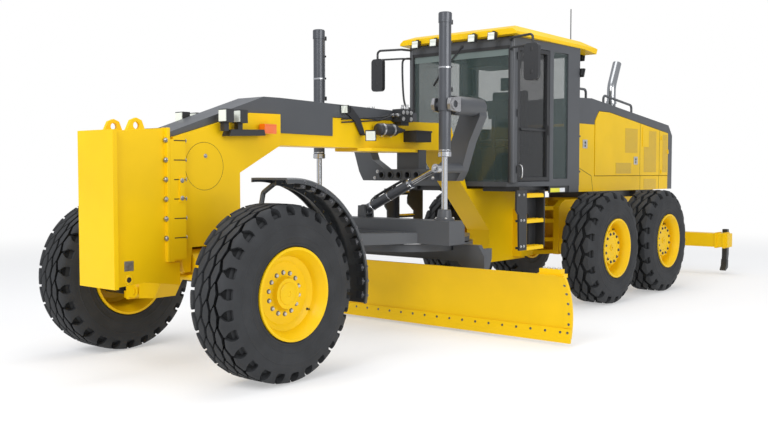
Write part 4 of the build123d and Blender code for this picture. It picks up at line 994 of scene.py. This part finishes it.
SHANKS_Y = (-1.08, 0, 1.08)
pins, brackets, tips = bmesh.new(), bmesh.new(), bmesh.new()
for side in (1, -1):
    out = Y * side
    turn(pins, (-4.43, side * 0.409, 0.76), out, [(0, 0.056), (0.012, 0.056), (0.016, 0.050), (0.016, 0)], 32)
    bolt(pins, (-4.43, side * 0.424, 0.76), out, 0.014)
for y in SHANKS_Y:
    for dy in (-0.062, 0.062):
        boxes(brackets, 1, (-5.186, -4.945, y + dy - 0.014, y + dy + 0.014, 0.415, 0.655))
    plate(tips, 1, y - 0.044, y + 0.044, [(-5.235, 0.215), (-5.228, 0.095), (-5.125, 0.052),
        (-5.100, 0.066), (-5.150, 0.130), (-5.165, 0.230)])
make("ripper_pin_caps", pins, STEEL, "rear_body")
make("shank_brackets", brackets, YELLOW, "ripper", bevel=0.004)
make("ripper_tips", tips, BLACK, "ripper", bevel=0.003)

# ---- camera, light and floor ----


def aim_at(thing, direction):
    thing.rotation_mode = "QUATERNION"
    thing.rotation_quaternion = direction.to_track_quat("-Z", "Y")


camera_data = bpy.data.cameras.new("camera")
camera = new_object("camera", camera_data)
yaw, pitch = radians(39.925), radians(2.757)
forward = Vector((-cos(yaw) * cos(pitch), -sin(yaw) * cos(pitch), -sin(pitch)))
camera.location = (9.141, 6.094, 1.590)
aim_at(camera, forward)
camera_data.lens = 42.52
camera_data.sensor_width = 36
scene.camera = camera


def softbox(name, place, target, size, power):
    data = bpy.data.lights.new(name, "AREA")
    data.shape = "RECTANGLE"
    data.size, data.size_y = size
    data.energy = power
    light = new_object(name, data)
    light.location = place
    aim_at(light, Vector(target) - Vector(place))


softbox("key", (13, 1.5, 8.5), (2, 0, 1.2), (7, 5), 900)
softbox("fill", (3, 12, 5), (0, 0, 1.2), (9, 5), 560)
softbox("top", (-1, 0, 11), -X, (14, 7), 620)

world = bpy.data.worlds.new("studio")
scene.world = world
world.use_nodes = True
world.node_tree.nodes.clear()
path, seen, mix, shown = (add_node(world.node_tree, kind)
    for kind in ("LightPath", "Math", "MixShader", "OutputWorld"))
seen.operation = "MAXIMUM"
white = add_node(world.node_tree, "Background", {"Color": (1, 1, 1, 1)})
soft = add_node(world.node_tree, "Background", {"Color": (0.93, 0.95, 1, 1), "Strength": 0.62})
connect(world.node_tree, (path.outputs["Is Camera Ray"], seen.inputs[0]),
    (path.outputs["Is Transmission Ray"], seen.inputs[1]), (seen.outputs[0], mix.inputs["Fac"]),
    (soft.outputs[0], mix.inputs[1]), (white.outputs[0], mix.inputs[2]),
    (mix.outputs[0], shown.inputs["Surface"]))

FLOOR_R = 120
floor_mesh = bpy.data.meshes.new("floor")
floor_mesh.from_pydata([(x * FLOOR_R, y * FLOOR_R, 0) for x, y in ((-1, -1), (1, -1), (1, 1), (-1, 1))], [],
    [(0, 1, 2, 3)])
floor = new_object("floor", floor_mesh)
ground = Look("floor_paper", {"Base Color": (0.86, 0.86, 0.86, 1), "Roughness": 0.9,
    "Specular IOR Level": 0.1})
place, far, paper, blend = (add_node(ground.tree, kind)
    for kind in ("TexCoord", "VectorMath", "Emission", "MixShader"))
far.operation = "LENGTH"
fade = add_node(ground.tree, "MapRange", {"From Min": 6, "From Max": 16, "To Min": 0.4})
fade.interpolation_type = "SMOOTHSTEP"
connect(ground.tree, (place.outputs["Object"], far.inputs[0]), (far.outputs["Value"], fade.inputs["Value"]),
    (fade.outputs["Result"], blend.inputs["Fac"]), (ground.shader.outputs[0], blend.inputs[1]),
    (paper.outputs[0], blend.inputs[2]), (blend.outputs[0],
    ground.tree.nodes["Material Output"].inputs["Surface"]))
floor_mesh.materials.append(ground.material)

bpy.context.scene.view_settings.view_transform = "Standard"
